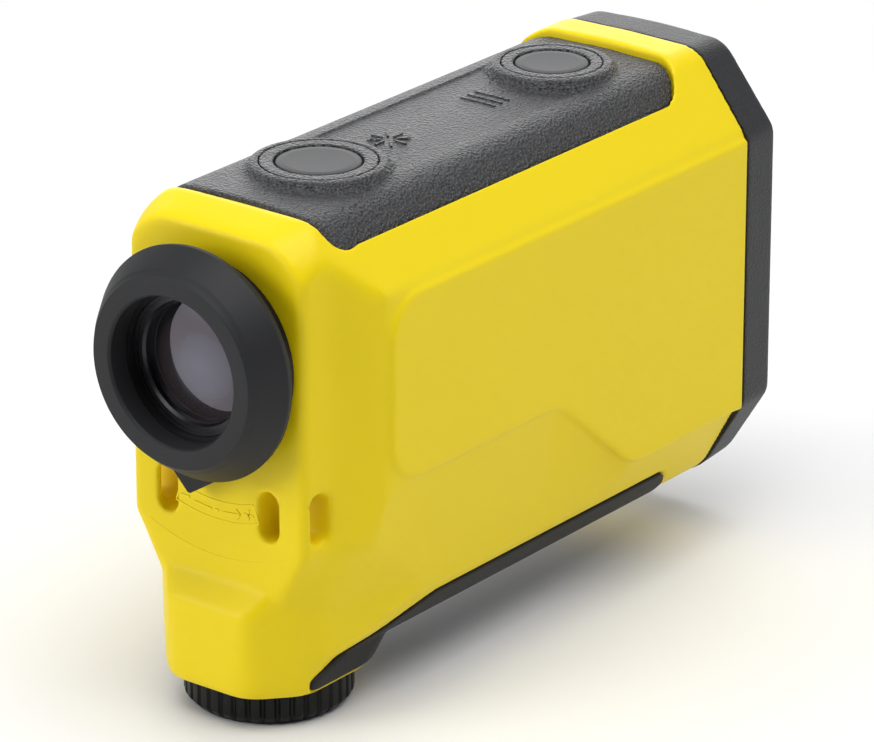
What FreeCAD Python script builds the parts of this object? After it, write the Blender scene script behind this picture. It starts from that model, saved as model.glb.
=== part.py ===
import FreeCAD, Part
import math
import os

import Sketcher
from FreeCAD import Placement, Rotation, Vector

# A handheld laser rangefinder monocular, in millimetres.
# +Y points at the target, +X to the user's right, +Z up.
# The origin is on the surface that the object stands on, below the centre of its box.

document = FreeCAD.newDocument("rangefinder")

# ---------------------------------------------------------------- driving dimensions

SIZES = [
    # the casing's cross-section, looking along the optical axis
    ("half_width", 21.0, "outer face of the flat side panels"),
    ("skin_half_width", 20.4, "casing side around the raised panels"),
    ("roof_top", 74.2, "crown of the roof"),
    ("roof_edge_x", 12.0, "where the roof meets the sloping shoulder"),
    ("roof_edge_z", 73.8, ""),
    ("shoulder_low_z", 62.7, "where the shoulder meets the side"),
    ("chamfer_high_z", 21.7, "where the side meets the lower chamfer"),
    ("belly_x", 12.9, "where the lower chamfer meets the underside"),
    ("belly_z", 8.0, "height of the underside"),
    ("crown_radius", 100.0, ""),
    ("roof_corner", 5.0, ""),
    ("side_corner", 3.0, ""),
    ("belly_corner", 8.0, ""),
    ("wall", 2.4, "wall of the casing"),
    # stations along the optical axis
    ("plate_y", -45.8, "flat rear plate that carries the eyepiece"),
    ("boss_rear_y", -48.8, "rear of the battery boss"),
    ("seam_y", 47.5, "joint between casing and front bezel"),
    ("bezel_front_y", 55.0, ""),
    ("seam_gap", 0.25, "shadow line between casing and bezel"),
    ("bezel_draft", 0.4, "the bezel narrows by this much to its front"),
    ("forehead_y", -39.3, "top of the slope above the rear plate"),
    ("plate_top_z", 70.8, ""),
    ("brow_corner", 8.3, "top corners of the rear plate"),
    # plan of the casing at the neck and at the battery boss
    ("neck_rear_x", 14.9, ""),
    ("neck_front_x", 15.9, ""),
    ("neck_front_y", -41.2, ""),
    ("flare_y", -34.6, "where the flare reaches the side"),
    ("neck_low_z", 27.0, "below this the neck narrows to the boss"),
    ("boss_top_z", 17.4, ""),
    ("boss_half_width", 13.3, ""),
    ("boss_foot_half_width", 12.7, "the boss narrows towards its foot"),
    ("boss_front_y", -10.6, "front of the boss where it meets the belly"),
    ("boss_foot_front_y", -22.6, "the front slopes back towards the foot"),
    ("boss_flat_x", 6.8, "half width of the boss's flat rear face"),
    ("boss_side_y", -42.3, "where the slanted corner face meets the side"),
    ("boss_corner", 3.0, ""),
    ("boss_foot_corner", 6.5, ""),
    ("boss_front_corner", 10.0, ""),
    ("shoulder_z", 21.2, "top of the slope above the boss"),
    ("boss_low_z", 5.2, ""),
    ("waist_flat_x", 9.2, "half width of the rear plate where it meets the boss"),
    ("waist_front_x", 13.8, ""),
    ("waist_front_y", -40.6, ""),
    ("waist_end_y", -8.0, ""),
    # raised side panel and the grip recess under it
    ("panel_rear_y", -34.0, ""),
    ("panel_top_z", 61.9, ""),
    ("panel_low_z", 35.3, ""),
    ("panel_step_rear_y", 3.0, "where the lower edge starts to fall"),
    ("panel_step_front_y", 20.5, ""),
    ("panel_front_low_z", 20.6, ""),
    ("panel_corner", 6.0, ""),
    ("recess_foot_x", 16.6, ""),
    ("recess_foot_z", 13.8, ""),
    # top panel with the two buttons
    ("cover_rear_y", -39.4, ""),
    ("cover_front_y", 41.6, ""),
    ("cover_half_width", 15.3, ""),
    ("cover_drop", 0.9, "the top panel lies this much below the roof"),
    ("cover_thickness", 1.2, ""),
    ("cover_rear_corner", 3.5, ""),
    ("cover_front_corner", 7.0, ""),
    ("button_top_z", 74.4, ""),
    ("measure_y", -23.6, ""),
    ("measure_button_radius", 5.95, ""),
    ("measure_ring_radius", 8.1, ""),
    ("measure_mound_top", 9.3, ""),
    ("measure_mound_foot", 10.8, ""),
    ("mode_y", 28.7, ""),
    ("mode_button_radius", 5.3, ""),
    ("mode_ring_radius", 7.2, ""),
    ("mode_mound_top", 8.5, ""),
    ("mode_mound_foot", 10.0, ""),
    ("button_gap", 0.15, "around a button in its ring"),
    ("button_thickness", 2.4, ""),
    ("stem_radius", 2.0, ""),
    ("stem_low_z", 70.2, ""),
    ("mound_foot_z", 72.6, ""),
    # bottom strip
    ("strip_front_y", 36.5, ""),
    ("strip_rear_y", -41.4, ""),
    ("strip_bend_y", -19.0, ""),
    ("strip_proud", 0.2, ""),
    ("strip_depth", 1.0, "thickness of the strip let into the underside"),
    # optics
    ("eye_z", 53.3, "height of the viewing axis"),
    ("receiver_z", 26.5, "height of the receiving axis"),
    ("barrel_radius", 12.0, ""),
    ("barrel_bore", 10.05, ""),
    ("barrel_rear_y", -48.2, ""),
    ("barrel_front_y", -34.0, ""),
    ("cell_radius", 10.0, ""),
    ("cell_rear_y", -50.6, ""),
    ("cell_front_y", -38.4, ""),
    ("lens_seat", 9.5, ""),
    ("cell_clear", 8.6, ""),
    ("objective_radius", 10.5, ""),
    ("receiver_radius", 9.0, ""),
    # eyecup and dioptre ring
    ("cup_rear_y", -55.0, ""),
    ("cup_bore", 10.55, ""),
    ("cup_face_radius", 13.6, ""),
    ("cup_rim_radius", 16.55, ""),
    ("cup_rim_y", -50.3, ""),
    ("ring_radius", 13.8, ""),
    ("ring_front_y", -46.1, ""),
    ("ring_shoulder_y", -48.7, ""),
    ("pointer_tip", 20.0, ""),
    ("pointer_turn", 7.0, "degrees from straight down, towards -X"),
    # battery and its cap
    ("battery_y", -35.3, "axis of battery and cap"),
    ("battery_radius", 7.8, ""),
    ("battery_low_z", 4.4, ""),
    ("battery_high_z", 31.4, ""),
    ("tube_bore", 8.2, ""),
    ("tube_high_z", 33.6, ""),
    ("cap_radius", 11.75, ""),
    ("cap_foot_radius", 10.5, ""),
    ("cap_high_z", 5.0, "gap of 0.2 under the boss"),
    ("spigot_radius", 10.2, ""),
    ("spigot_bore", 10.25, ""),
    ("spigot_high_z", 9.8, ""),
    ("thread_high_z", 10.6, ""),
    ("cap_floor_z", 2.2, ""),
    # strap slots
    ("slot_low_z", 28.6, ""),
    ("slot_high_z", 35.9, ""),
    ("slot_in_x", 7.1, ""),
    ("slot_out_x", 10.5, ""),
    ("slot_rear_y", -44.6, ""),
    ("slot_front_y", -41.2, ""),
    # side display, left side
    ("display_rear_y", -13.0, ""),
    ("display_front_y", 17.0, ""),
    ("display_low_z", 38.5, ""),
    ("display_high_z", 58.5, ""),
    ("window_border", 3.2, ""),
]

sheet = document.addObject("Spreadsheet::Sheet", "Sizes")
for row, (alias, number, note) in enumerate(SIZES, start=1):
    sheet.set("A%d" % row, alias)
    sheet.set("B%d" % row, str(number))
    sheet.set("C%d" % row, note)
    sheet.setAlias("B%d" % row, alias)
document.recompute()

NUMBERS = {alias: number for alias, number, note in SIZES}
SUB_PARTS = []


# ---------------------------------------------------------------- sizes as text
# A size is written as a sum, such as "seam_y - wall + 0.5".

def amount(text):
    """The number that a sum of aliases and plain numbers comes to."""
    total, sign = 0.0, 1.0
    for word in text.split():
        if word in "+-":
            sign = 1.0 if word == "+" else -1.0
            continue
        negative = word.startswith("-")
        bare = word[1:] if negative else word
        number = NUMBERS[bare] if bare in NUMBERS else float(bare)
        total += sign * (-number if negative else number)
        sign = 1.0
    return total


def formula(text):
    """The same sum as a FreeCAD expression on the sheet's cells."""
    words = []
    for word in text.split():
        bare = word.lstrip("-") if word != "-" else word
        words.append(word.replace(bare, "Sizes." + bare) if bare in NUMBERS else word)
    return " ".join(words)


def bind(item, name, text):
    """Tie a property to the sheet."""
    item.setExpression(name, formula(text))


def negative(text):
    """The same sum with every sign turned."""
    turned_words = []
    sign = "-"
    for word in text.split():
        if word in "+-":
            sign = "-" if word == "+" else "+"
            continue
        if turned_words:
            turned_words += [sign, word]
        else:
            turned_words.append(word[1:] if word.startswith("-") else "-" + word)
    return " ".join(turned_words)


# ---------------------------------------------------------------- drawing helpers

ACROSS = Rotation(Vector(1, 0, 0), 90)      # a sketch in X and Z
SIDEWAYS = Rotation(Vector(1, 1, 1), 120)   # a sketch in Y and Z
FLAT = Rotation()                           # a sketch in X and Y
FORWARD = Rotation(Vector(1, 0, 0), -90)    # turns a turned part's axis from Z to Y


def place(item, rotation=FLAT, x="0", y="0", z="0"):
    """Put an object at a place whose coordinates follow the sheet."""
    item.Placement = Placement(Vector(amount(x), amount(y), amount(z)), rotation)
    for letter, text in zip("xyz", (x, y, z)):
        bind(item, "Placement.Base." + letter, text)
    return item


def corner_arc(before, at, after, radius):
    """Start, centre and end of the arc that rounds a corner."""
    to_before = (before - at).normalize()
    to_after = (after - at).normalize()
    half = math.acos(max(-1.0, min(1.0, to_before.dot(to_after)))) / 2
    reach = radius / math.tan(half)
    middle = (to_before + to_after).normalize()
    return at + to_before * reach, at + middle * (radius / math.sin(half)), at + to_after * reach


def arc_between(start, centre, end):
    """The short arc from start to end about centre, and whether it runs backwards."""
    radius = (start - centre).Length
    circle = Part.Circle(centre, Vector(0, 0, 1), radius)
    first = math.atan2(start.y - centre.y, start.x - centre.x)
    last = math.atan2(end.y - centre.y, end.x - centre.x)
    backwards = ((last - first) % (2 * math.pi)) > math.pi
    if backwards:
        first, last = last, first
    return Part.ArcOfCircle(circle, first, last), backwards


def fix_point(sketch, geometry, end, across, up):
    """Dimension a point from the sketch's origin."""
    for kind, text in (("DistanceX", across), ("DistanceY", up)):
        number = sketch.addConstraint(Sketcher.Constraint(kind, -1, 1, geometry, end, amount(text)))
        sketch.setExpression("Constraints[%d]" % number, formula(text))


def draw_outline(sketch, corners):
    """Draw a closed outline: corners are (across, up, radius or None) as sums."""
    points = [Vector(amount(across), amount(up), 0) for across, up, radius in corners]
    arcs = []
    for index, (across, up, radius) in enumerate(corners):
        before, after = points[index - 1], points[(index + 1) % len(points)]
        arcs.append(corner_arc(before, points[index], after, amount(radius)) if radius else None)
    lines = []
    for index in range(len(corners)):
        following = (index + 1) % len(corners)
        start = arcs[index][2] if arcs[index] else points[index]
        end = arcs[following][0] if arcs[following] else points[following]
        lines.append(sketch.addGeometry(Part.LineSegment(start, end)))
    for index, (across, up, radius) in enumerate(corners):
        incoming, outgoing = lines[index - 1], lines[index]
        if radius is None:
            sketch.addConstraint(Sketcher.Constraint("Coincident", incoming, 2, outgoing, 1))
            fix_point(sketch, outgoing, 1, across, up)
            continue
        arc, backwards = arc_between(*arcs[index])
        rounded = sketch.addGeometry(arc)
        first_end, last_end = (2, 1) if backwards else (1, 2)
        sketch.addConstraint(Sketcher.Constraint("Tangent", incoming, 2, rounded, first_end))
        sketch.addConstraint(Sketcher.Constraint("Tangent", rounded, last_end, outgoing, 1))
        number = sketch.addConstraint(Sketcher.Constraint("Radius", rounded, amount(radius)))
        sketch.setExpression("Constraints[%d]" % number, formula(radius))
        corner = sketch.addGeometry(Part.Point(points[index]), True)
        sketch.addConstraint(Sketcher.Constraint("PointOnObject", corner, 1, incoming))
        sketch.addConstraint(Sketcher.Constraint("PointOnObject", corner, 1, outgoing))
        fix_point(sketch, corner, 1, across, up)


def outline(name, corners, rotation, x="0", y="0", z="0"):
    """A sketch on its own, for an extrusion or a loft."""
    sketch = document.addObject("Sketcher::SketchObject", name + "_outline")
    place(sketch, rotation, x, y, z)
    draw_outline(sketch, corners)
    return sketch


def prism(name, corners, rotation, start, end):
    """An outline extruded from one station to another along its own normal axis."""
    axis = "y" if rotation is ACROSS else "x" if rotation is SIDEWAYS else "z"
    item = document.addObject("Part::Extrusion", name)
    item.Base = outline(name, corners, rotation, **{axis: start})
    item.DirMode = "Custom"
    item.Dir = Vector(*[float(letter == axis) for letter in "xyz"])
    item.LengthFwd = amount(end) - amount(start)
    item.setExpression("LengthFwd", "(%s) - (%s)" % (formula(end), formula(start)))
    item.Solid = True
    return item


def mirrored_corners(corners):
    """A right half outline, top to bottom, closed with its mirror image."""
    left = [(negative(across), up, radius) for across, up, radius in reversed(corners)]
    left = [corner for corner in left if abs(amount(corner[0])) > 1e-6]
    return corners + left


def block(name, x, y, z):
    """A box between pairs of stations."""
    item = document.addObject("Part::Box", name)
    for side, (low, high) in (("Length", x), ("Width", y), ("Height", z)):
        item.setExpression(side, "(%s) - (%s)" % (formula(high), formula(low)))
    return place(item, FLAT, x[0], y[0], z[0])


def rod(name, radius, start, end, x="0", y="0", z="0", rotation=FLAT):
    """A cylinder along Z (or along Y when turned FORWARD), between two stations."""
    item = document.addObject("Part::Cylinder", name)
    bind(item, "Radius", radius)
    item.setExpression("Height", "(%s) - (%s)" % (formula(end), formula(start)))
    if rotation is FORWARD:
        return place(item, rotation, x, start, z)
    return place(item, rotation, x, y, start)


def cone(name, low_radius, high_radius, low, high, y):
    """A cone along Z."""
    item = document.addObject("Part::Cone", name)
    bind(item, "Radius1", low_radius)
    bind(item, "Radius2", high_radius)
    item.setExpression("Height", "(%s) - (%s)" % (formula(high), formula(low)))
    return place(item, FLAT, "0", y, low)


def fuse(name, items):
    """One solid of several."""
    item = document.addObject("Part::MultiFuse", name)
    item.Shapes = items
    return item


def common(name, items):
    """What several solids share."""
    item = document.addObject("Part::MultiCommon", name)
    item.Shapes = items
    return item


def cut(name, base, tools):
    """A solid with others taken away."""
    item = document.addObject("Part::Cut", name)
    item.Base = base
    item.Tool = tools[0] if len(tools) == 1 else fuse(name + "_tools", tools)
    return item


def group(name, items):
    """Separate solids in one sub-part."""
    item = document.addObject("Part::Compound", name)
    item.Links = items
    return item


def mirrored(name, source):
    """The mirror image in the plane of symmetry."""
    item = document.addObject("Part::Mirroring", name)
    item.Source = source
    item.Normal = Vector(1, 0, 0)
    return item


def rounded_edges(name, base, radius, wanted):
    """Round the edges of a solid that a test picks by their middle point and box."""
    document.recompute()
    numbers = [index for index, edge in enumerate(base.Shape.Edges, start=1) if wanted(edge)]
    item = document.addObject("Part::Fillet", name)
    item.Base = base
    item.Edges = [(number, radius, radius) for number in numbers]
    return item


def origin_plane(body, role):
    """One of a body's own origin planes."""
    return [plane for plane in body.Origin.OriginFeatures if plane.Role == role][0]


def turned(name, corners, rotation=FORWARD, x="0", y="0", z="eye_z"):
    """A turned body: corners are (radius, station) along its axis."""
    body = document.addObject("PartDesign::Body", name)
    sketch = body.newObject("Sketcher::SketchObject", name + "_profile")
    sketch.AttachmentSupport = [(origin_plane(body, "XZ_Plane"), "")]
    sketch.MapMode = "FlatFace"
    draw_outline(sketch, [corner if len(corner) == 3 else corner + (None,) for corner in corners])
    turning = body.newObject("PartDesign::Revolution", name + "_turning")
    turning.Profile = sketch
    turning.ReferenceAxis = (sketch, ["V_Axis"])
    turning.Angle = 360.0
    body.Tip = turning
    return place(body, rotation, x, y, z)


def keep(item, name):
    """Name a finished sub-part."""
    item.Label = name
    SUB_PARTS.append(item)
    return item


# ---------------------------------------------------------------- casing

def casing_section():
    """Right half of the casing's cross-section, from the crown to the underside."""
    return [
        ("0", "roof_top", "crown_radius"),
        ("roof_edge_x", "roof_edge_z", "roof_corner"),
        ("skin_half_width", "shoulder_low_z", "side_corner"),
        ("skin_half_width", "chamfer_high_z", "side_corner"),
        ("belly_x", "belly_z", "belly_corner"),
    ]


def neck_plan():
    """Right half of the plan above the battery boss, from the rear forward."""
    return [
        ("neck_rear_x", "plate_y", "1.6"),
        ("neck_front_x", "neck_front_y", "5"),
        ("skin_half_width", "flare_y", "4"),
        ("skin_half_width", "seam_y", None),
    ]


def waist_plan():
    """Right half of the plan at the top of the battery boss."""
    return [
        ("waist_flat_x", "plate_y", "3"),
        ("waist_front_x", "waist_front_y", "6"),
        ("skin_half_width", "waist_end_y", "8"),
        ("skin_half_width", "seam_y", None),
    ]


def boss_plan(width, front, rounding, grow):
    """Right half of the battery boss's plan at one level."""
    return [
        ("boss_flat_x + " + grow, "boss_rear_y - " + grow, rounding),
        (width + " + " + grow, "boss_side_y - " + grow, "boss_foot_corner"),
        (width + " + " + grow, front + " + " + grow, "boss_front_corner"),
    ]


def loft(name, sections):
    """A solid with straight lines between matching outlines."""
    item = document.addObject("Part::Loft", name)
    item.Sections = sections
    item.Solid = True
    item.Ruled = True
    return item


def boss(name, grow="0", deeper="0"):
    """The battery boss, or the same shape moved in or out, or drawn on further down."""
    foot = boss_plan("boss_foot_half_width", "boss_foot_front_y - " + deeper, "boss_foot_corner", grow)
    head = boss_plan("boss_half_width", "boss_front_y", "boss_corner", grow)
    return loft(name, [
        outline(name + "_foot", mirrored_corners(foot), FLAT, z="boss_low_z - " + deeper),
        outline(name + "_head", mirrored_corners(head), FLAT, z="boss_top_z"),
    ])


def boss_shoulder():
    """The slope between the boss's flat rear face and the rear plate."""
    low = boss_plan("boss_half_width", "boss_front_y", "boss_corner", "0")
    high = [
        ("waist_flat_x + 0.8", "plate_y + 0.1", "boss_corner"),
        ("boss_half_width", "waist_front_y", "boss_foot_corner"),
        ("boss_half_width", "boss_front_y", "boss_front_corner"),
    ]
    return loft("boss_shoulder", [
        outline("boss_shoulder_low", mirrored_corners(low), FLAT, z="boss_top_z"),
        outline("boss_shoulder_high", mirrored_corners(high), FLAT, z="shoulder_z"),
    ])


def casing_plan():
    """The casing's plan as three levels: neck, narrowing waist, and lower body."""
    upper = prism("upper_plan", mirrored_corners(neck_plan()), FLAT, "neck_low_z", "80")
    lower = prism("lower_plan", mirrored_corners(waist_plan()), FLAT, "0", "boss_top_z")
    waist = loft("waist_plan", [
        outline("waist_low", mirrored_corners(waist_plan()), FLAT, z="boss_top_z"),
        outline("waist_high", mirrored_corners(neck_plan()), FLAT, z="neck_low_z"),
    ])
    return fuse("casing_plan", [upper, waist, lower])


def brow_outline(half, top):
    """Right half of the brow's outline at one station."""
    return [(half, top, "brow_corner"), (half, "30", None)]


def brow_cut():
    """What is taken off the top corners behind the top panel; it runs out forwards."""
    front = "flare_y + 1.6"
    whole = block("brow_space", ("-30", "30"), ("plate_y - 0.1", front), ("40", "80"))
    kept = loft("brow", [
        outline("brow_rear", mirrored_corners(brow_outline("neck_rear_x + 0.3", "plate_top_z + 0.2")),
                ACROSS, y="plate_y - 0.1"),
        outline("brow_front", mirrored_corners(brow_outline("skin_half_width + 1.2", "roof_top + 1.4")),
                ACROSS, y=front),
    ])
    return cut("brow_cut", whole, [kept])


def side_panel():
    """The raised flat panel on the right side."""
    corners = [
        ("panel_rear_y", "panel_top_z", "panel_corner"),
        ("panel_rear_y", "panel_low_z", "panel_corner"),
        ("panel_step_rear_y", "panel_low_z", "8"),
        ("panel_step_front_y", "panel_front_low_z", "8"),
        ("seam_y", "panel_front_low_z", None),
        ("seam_y", "panel_top_z", None),
    ]
    return prism("side_panel", corners, SIDEWAYS, "skin_half_width - 1.5", "half_width")


def grip_recess():
    """The wedge taken away under the side panel."""
    sections = []
    stations = (("-50", "panel_low_z"), ("panel_step_rear_y", "panel_low_z"),
                ("panel_step_front_y + 2", "chamfer_high_z"))
    for number, (station, height) in enumerate(stations):
        corners = [
            ("skin_half_width + 0.1", height, None),
            ("recess_foot_x + 0.05", "recess_foot_z", None),
            ("skin_half_width + 5", "recess_foot_z", None),
            ("skin_half_width + 5", height, None),
        ]
        sections.append(outline("recess_%d" % number, corners, ACROSS, y=station))
    return loft("grip_recess", sections)


def forehead_cut():
    """The slope between the rear plate and the roof."""
    corners = [
        ("plate_y - 6", "plate_top_z - 3.2", None),
        ("plate_y", "plate_top_z", None),
        ("forehead_y", "roof_top", None),
        ("forehead_y", "roof_top + 6", None),
        ("plate_y - 6", "roof_top + 6", None),
    ]
    return prism("forehead_cut", corners, SIDEWAYS, "-30", "30")


def cover_plan(gap):
    """Plan of the top panel, or of its pocket."""
    rear = "cover_rear_y + " + gap
    front = "cover_front_y - " + gap
    half = "cover_half_width - " + gap
    return [(half, rear, "cover_rear_corner"), (half, front, "cover_front_corner")]


def lowered_section(drop, inset):
    """The roof and shoulders, lowered by the depth of the top panel's pocket."""
    return [
        ("0", "roof_top - " + drop, "crown_radius"),
        ("roof_edge_x - " + inset, "roof_edge_z - " + drop, "roof_corner"),
        ("skin_half_width - " + inset, "shoulder_low_z - " + drop, None),
        ("skin_half_width - " + inset, "30", None),
    ]


def cover_floor():
    """The roof under the top panel."""
    corners = mirrored_corners(lowered_section("cover_drop - cover_thickness", "0.6"))
    return prism("cover_floor", corners, ACROSS, "-60", "60")


def cover_pocket():
    """What the top panel's pocket takes from the roof."""
    plan = prism("cover_pocket_plan", mirrored_corners(cover_plan("0")), FLAT, "60", "80")
    return cut("cover_pocket", plan, [cover_floor()])


def strip_side(gap):
    """The bottom strip seen from the side."""
    return [
        ("strip_front_y - " + gap, "boss_low_z + 0.5 + " + gap, None),
        ("strip_front_y - " + gap, "recess_foot_z - " + gap, "3"),
        ("strip_bend_y", "recess_foot_z - " + gap, "12"),
        ("strip_rear_y + 5", "belly_z + 1.2", "6"),
        ("strip_rear_y", "belly_z - 0.6", None),
        ("strip_rear_y", "boss_low_z + 0.5 + " + gap, None),
    ]


def belly_section(grow):
    """The lower chamfers and underside, moved out by an amount."""
    return [
        ("skin_half_width + 1.17", "30", None),
        ("skin_half_width + " + grow, "chamfer_high_z", None),
        ("belly_x + " + grow, "belly_z - " + grow, "belly_corner"),
    ]


def strip_pocket():
    """What the bottom strip's pocket takes from the underside."""
    region = prism("strip_pocket_side", strip_side("0"), SIDEWAYS, "-30", "30")
    return off_its_bed("strip_pocket", region)


def off_its_bed(name, skin):
    """What is left outside the underside and the boss, both lowered by the strip's depth."""
    belly = prism(name + "_belly", mirrored_corners(belly_section("-strip_depth")), ACROSS, "-60", "60")
    skin = cut(name + "_off_belly", skin, [belly])
    return cut(name, skin, [boss(name + "_boss", "-strip_depth", "1")])


def cavities():
    """The hollow inside: main chamber, the part over the battery, and the neck."""
    chamber = prism("chamber", mirrored_corners([
        ("10.6", "70.4", None), ("18.0", "61.2", None), ("18.0", "35.6", None),
        ("14.3", "16.5", None), ("9.0", "11.0", None)]), ACROSS, "-24.4", "seam_y")
    loft_over = prism("chamber_over_battery", mirrored_corners([
        ("10.6", "70.4", None), ("17.4", "61.9", None), ("17.4", "38", None)]), ACROSS, "-31.6", "-24.4")
    neck = prism("neck_chamber", mirrored_corners([
        ("10.4", "68.2", None), ("12.9", "65", None), ("12.9", "38", None)]),
        ACROSS, "plate_y + wall", "-31.6")
    return [chamber, loft_over, neck]


def strap_tunnel(name):
    """One strap eyelet: a slot in the rear plate that turns into a slot in the neck's side."""
    middle_x = "8.8"
    rear = prism(name + "_rear", slot_corners("slot_in_x", "slot_out_x", "0.4"),
                 ACROSS, "plate_y - 2", "slot_front_y")
    side = prism(name + "_side", slot_corners("slot_rear_y", "slot_front_y", "-0.1"),
                 SIDEWAYS, middle_x, "18")
    return [rear, side]


def slot_corners(low, high, drop):
    """A slot with round ends, standing upright."""
    bottom = "slot_low_z - " + drop
    top = "slot_high_z - " + drop
    return [(low, bottom, "1.65"), (low, top, "1.65"), (high, top, "1.65"), (high, bottom, "1.65")]


def display_opening():
    """The window's opening in the left side."""
    return [
        block("display_seat", ("-22", "-18.8"), ("display_rear_y", "display_front_y"),
              ("display_low_z", "display_high_z")),
        block("display_through", ("-22", "-16"),
              ("display_rear_y + window_border", "display_front_y - window_border"),
              ("display_low_z + window_border", "display_high_z - window_border")),
    ]


def gasket_section(inset):
    """The casing's outline, moved in, for the seal under the bezel."""
    return [
        ("roof_edge_x - " + inset, "roof_edge_z - " + inset, "2"),
        ("skin_half_width - " + inset, "shoulder_low_z - " + inset, "2"),
        ("skin_half_width - " + inset, "chamfer_high_z + " + inset, "2"),
        ("belly_x - " + inset, "belly_z + " + inset, "4"),
    ]


def gasket_ring(name):
    """A flat ring that follows the seam."""
    front = "seam_y + seam_gap"
    outer = prism(name + "_outer", mirrored_corners(gasket_section("0.7")), ACROSS, "seam_y - 0.6", front)
    inner = prism(name + "_inner", mirrored_corners(gasket_section("1.6")), ACROSS, "seam_y - 0.6", front)
    return cut(name, outer, [inner])


def main_housing():
    """The one-piece casing, open at the front."""
    section = prism("casing_section", mirrored_corners(casing_section()), ACROSS, "plate_y - 4", "seam_y")
    shape = common("casing_blank", [section, casing_plan()])
    recess = grip_recess()
    shape = cut("casing_with_grip", shape, [recess, mirrored("grip_recess_left", recess)])
    panel = side_panel()
    shape = fuse("casing_with_panels", [shape, panel, mirrored("side_panel_left", panel)])
    column = rounded_edges("battery_boss_rounded", boss("battery_boss"), 1.0,
                           lambda edge: edge.BoundBox.ZLength < 0.01 and edge.BoundBox.ZMax < 6)
    shape = fuse("casing_solid", [shape, column, boss_shoulder()])
    shape = cut("casing_with_pockets", shape, [strip_pocket(), cover_pocket(), forehead_cut(), brow_cut()])
    tunnel = strap_tunnel("strap")
    tools = cavities() + tunnel
    tools += [mirrored("strap_left_%d" % number, item) for number, item in enumerate(tunnel)]
    tools += display_opening()
    tools += [
        rod("barrel_hole", "barrel_radius", "plate_y - 1", "-40", z="eye_z", rotation=FORWARD),
        rod("seal_groove", "barrel_radius + 0.6", "plate_y + 0.8", "plate_y + 1.7",
            z="eye_z", rotation=FORWARD),
        rod("battery_bore", "tube_bore", "0", "tube_high_z", y="battery_y"),
        rod("cap_thread", "spigot_bore", "0", "thread_high_z", y="battery_y"),
        rod("measure_hole", "measure_button_radius + 0.45", "66", "80", y="measure_y"),
        rod("mode_hole", "mode_button_radius + 0.45", "66", "80", y="mode_y"),
        gasket_ring("gasket_groove"),
    ]
    return keep(cut("main_housing", shape, tools), "main_housing")


# ---------------------------------------------------------------- front

def bezel_section(inset):
    """Right half of the bezel's outline, moved in by an amount."""
    return [
        ("0", "roof_top - 0.2 - " + inset, "crown_radius"),
        ("roof_edge_x - " + inset, "roof_edge_z - 0.2 - " + inset, "roof_corner"),
        ("half_width - " + inset, "panel_top_z", "side_corner"),
        ("half_width - " + inset, "chamfer_high_z - 0.4", "side_corner"),
        ("belly_x - " + inset, "belly_z + " + inset, "belly_corner"),
    ]


def front_bezel():
    """The dark front frame with its two lens openings."""
    frame = loft("bezel_frame", [
        outline("bezel_rear", mirrored_corners(bezel_section("0")), ACROSS, y="seam_y + seam_gap"),
        outline("bezel_front", mirrored_corners(bezel_section("bezel_draft")), ACROSS, y="bezel_front_y"),
    ])
    frame = rounded_edges("bezel_rounded", frame, 0.9,
                          lambda edge: edge.BoundBox.YMin > amount("bezel_front_y") - 0.01)
    hollow = prism("bezel_hollow", mirrored_corners(bezel_section("2.2")), ACROSS, "seam_y", "seam_y + 4.3")
    tools = [
        hollow,
        rod("objective_opening", "objective_radius + 0.3", "seam_y", "60", z="eye_z", rotation=FORWARD),
        rod("receiver_opening", "receiver_radius + 0.3", "seam_y", "60", z="receiver_z", rotation=FORWARD),
    ]
    return keep(cut("front_bezel", frame, tools), "front_bezel")


def front_gasket():
    """The seal between casing and bezel."""
    return keep(gasket_ring("front_gasket"), "front_gasket")


def objective_parts():
    """The two front lenses and the threaded rings that hold them."""
    for name, radius, height, bulge in (("objective", "objective_radius", "eye_z", "1.5"),
                                        ("receiver", "receiver_radius", "receiver_z", "1.9")):
        lens_outline = [("0", "bezel_front_y - 4.9"), (radius + " - 0.6", "bezel_front_y - 4.9"),
                        (radius + " - 0.6", "bezel_front_y - 2.9"),
                        (radius + " - 1.5", "bezel_front_y - 2.9"),
                        (radius + " - 5", "bezel_front_y - 2.55"), ("0", "bezel_front_y - 4.0 + " + bulge)]
        lens = turned(name + "_lens", lens_outline, z=height)
        keep(lens, name + "_lens")
        ring = turned(name + "_retaining_ring", [
            (radius + " - 1.4", "bezel_front_y - 2.9"), (radius + " + 0.25", "bezel_front_y - 2.9"),
            (radius + " + 0.25", "bezel_front_y - 1.7"), (radius + " - 0.9", "bezel_front_y - 1.7")],
            z=height)
        keep(ring, name + "_retaining_ring")


# ---------------------------------------------------------------- top

def mound(name, station, top_radius, foot_radius, hole_radius):
    """The sloping mound round a button, and the hole through it."""
    hill = cone(name + "_hill", foot_radius, top_radius, "mound_foot_z - 0.5", "button_top_z", station)
    hole = rod(name + "_hole", hole_radius + " + 0.05", "66", "80", y=station)
    return hill, hole


def top_panel():
    """The textured cover in the roof, with a mound for each button."""
    plan = prism("top_panel_plan", mirrored_corners(cover_plan("0.1")), FLAT, "60", "80")
    roof = prism("top_panel_roof", mirrored_corners(lowered_section("cover_drop", "0")), ACROSS, "-60", "60")
    skin = common("top_panel_blank", [plan, roof])
    measure_hill, measure_hole = mound("measure", "measure_y", "measure_mound_top",
                                       "measure_mound_foot", "measure_ring_radius")
    mode_hill, mode_hole = mound("mode", "mode_y", "mode_mound_top", "mode_mound_foot", "mode_ring_radius")
    skin = fuse("top_panel_with_mounds", [skin, measure_hill, mode_hill])
    return keep(cut("top_panel", skin, [cover_floor(), measure_hole, mode_hole]), "top_panel")


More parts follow.
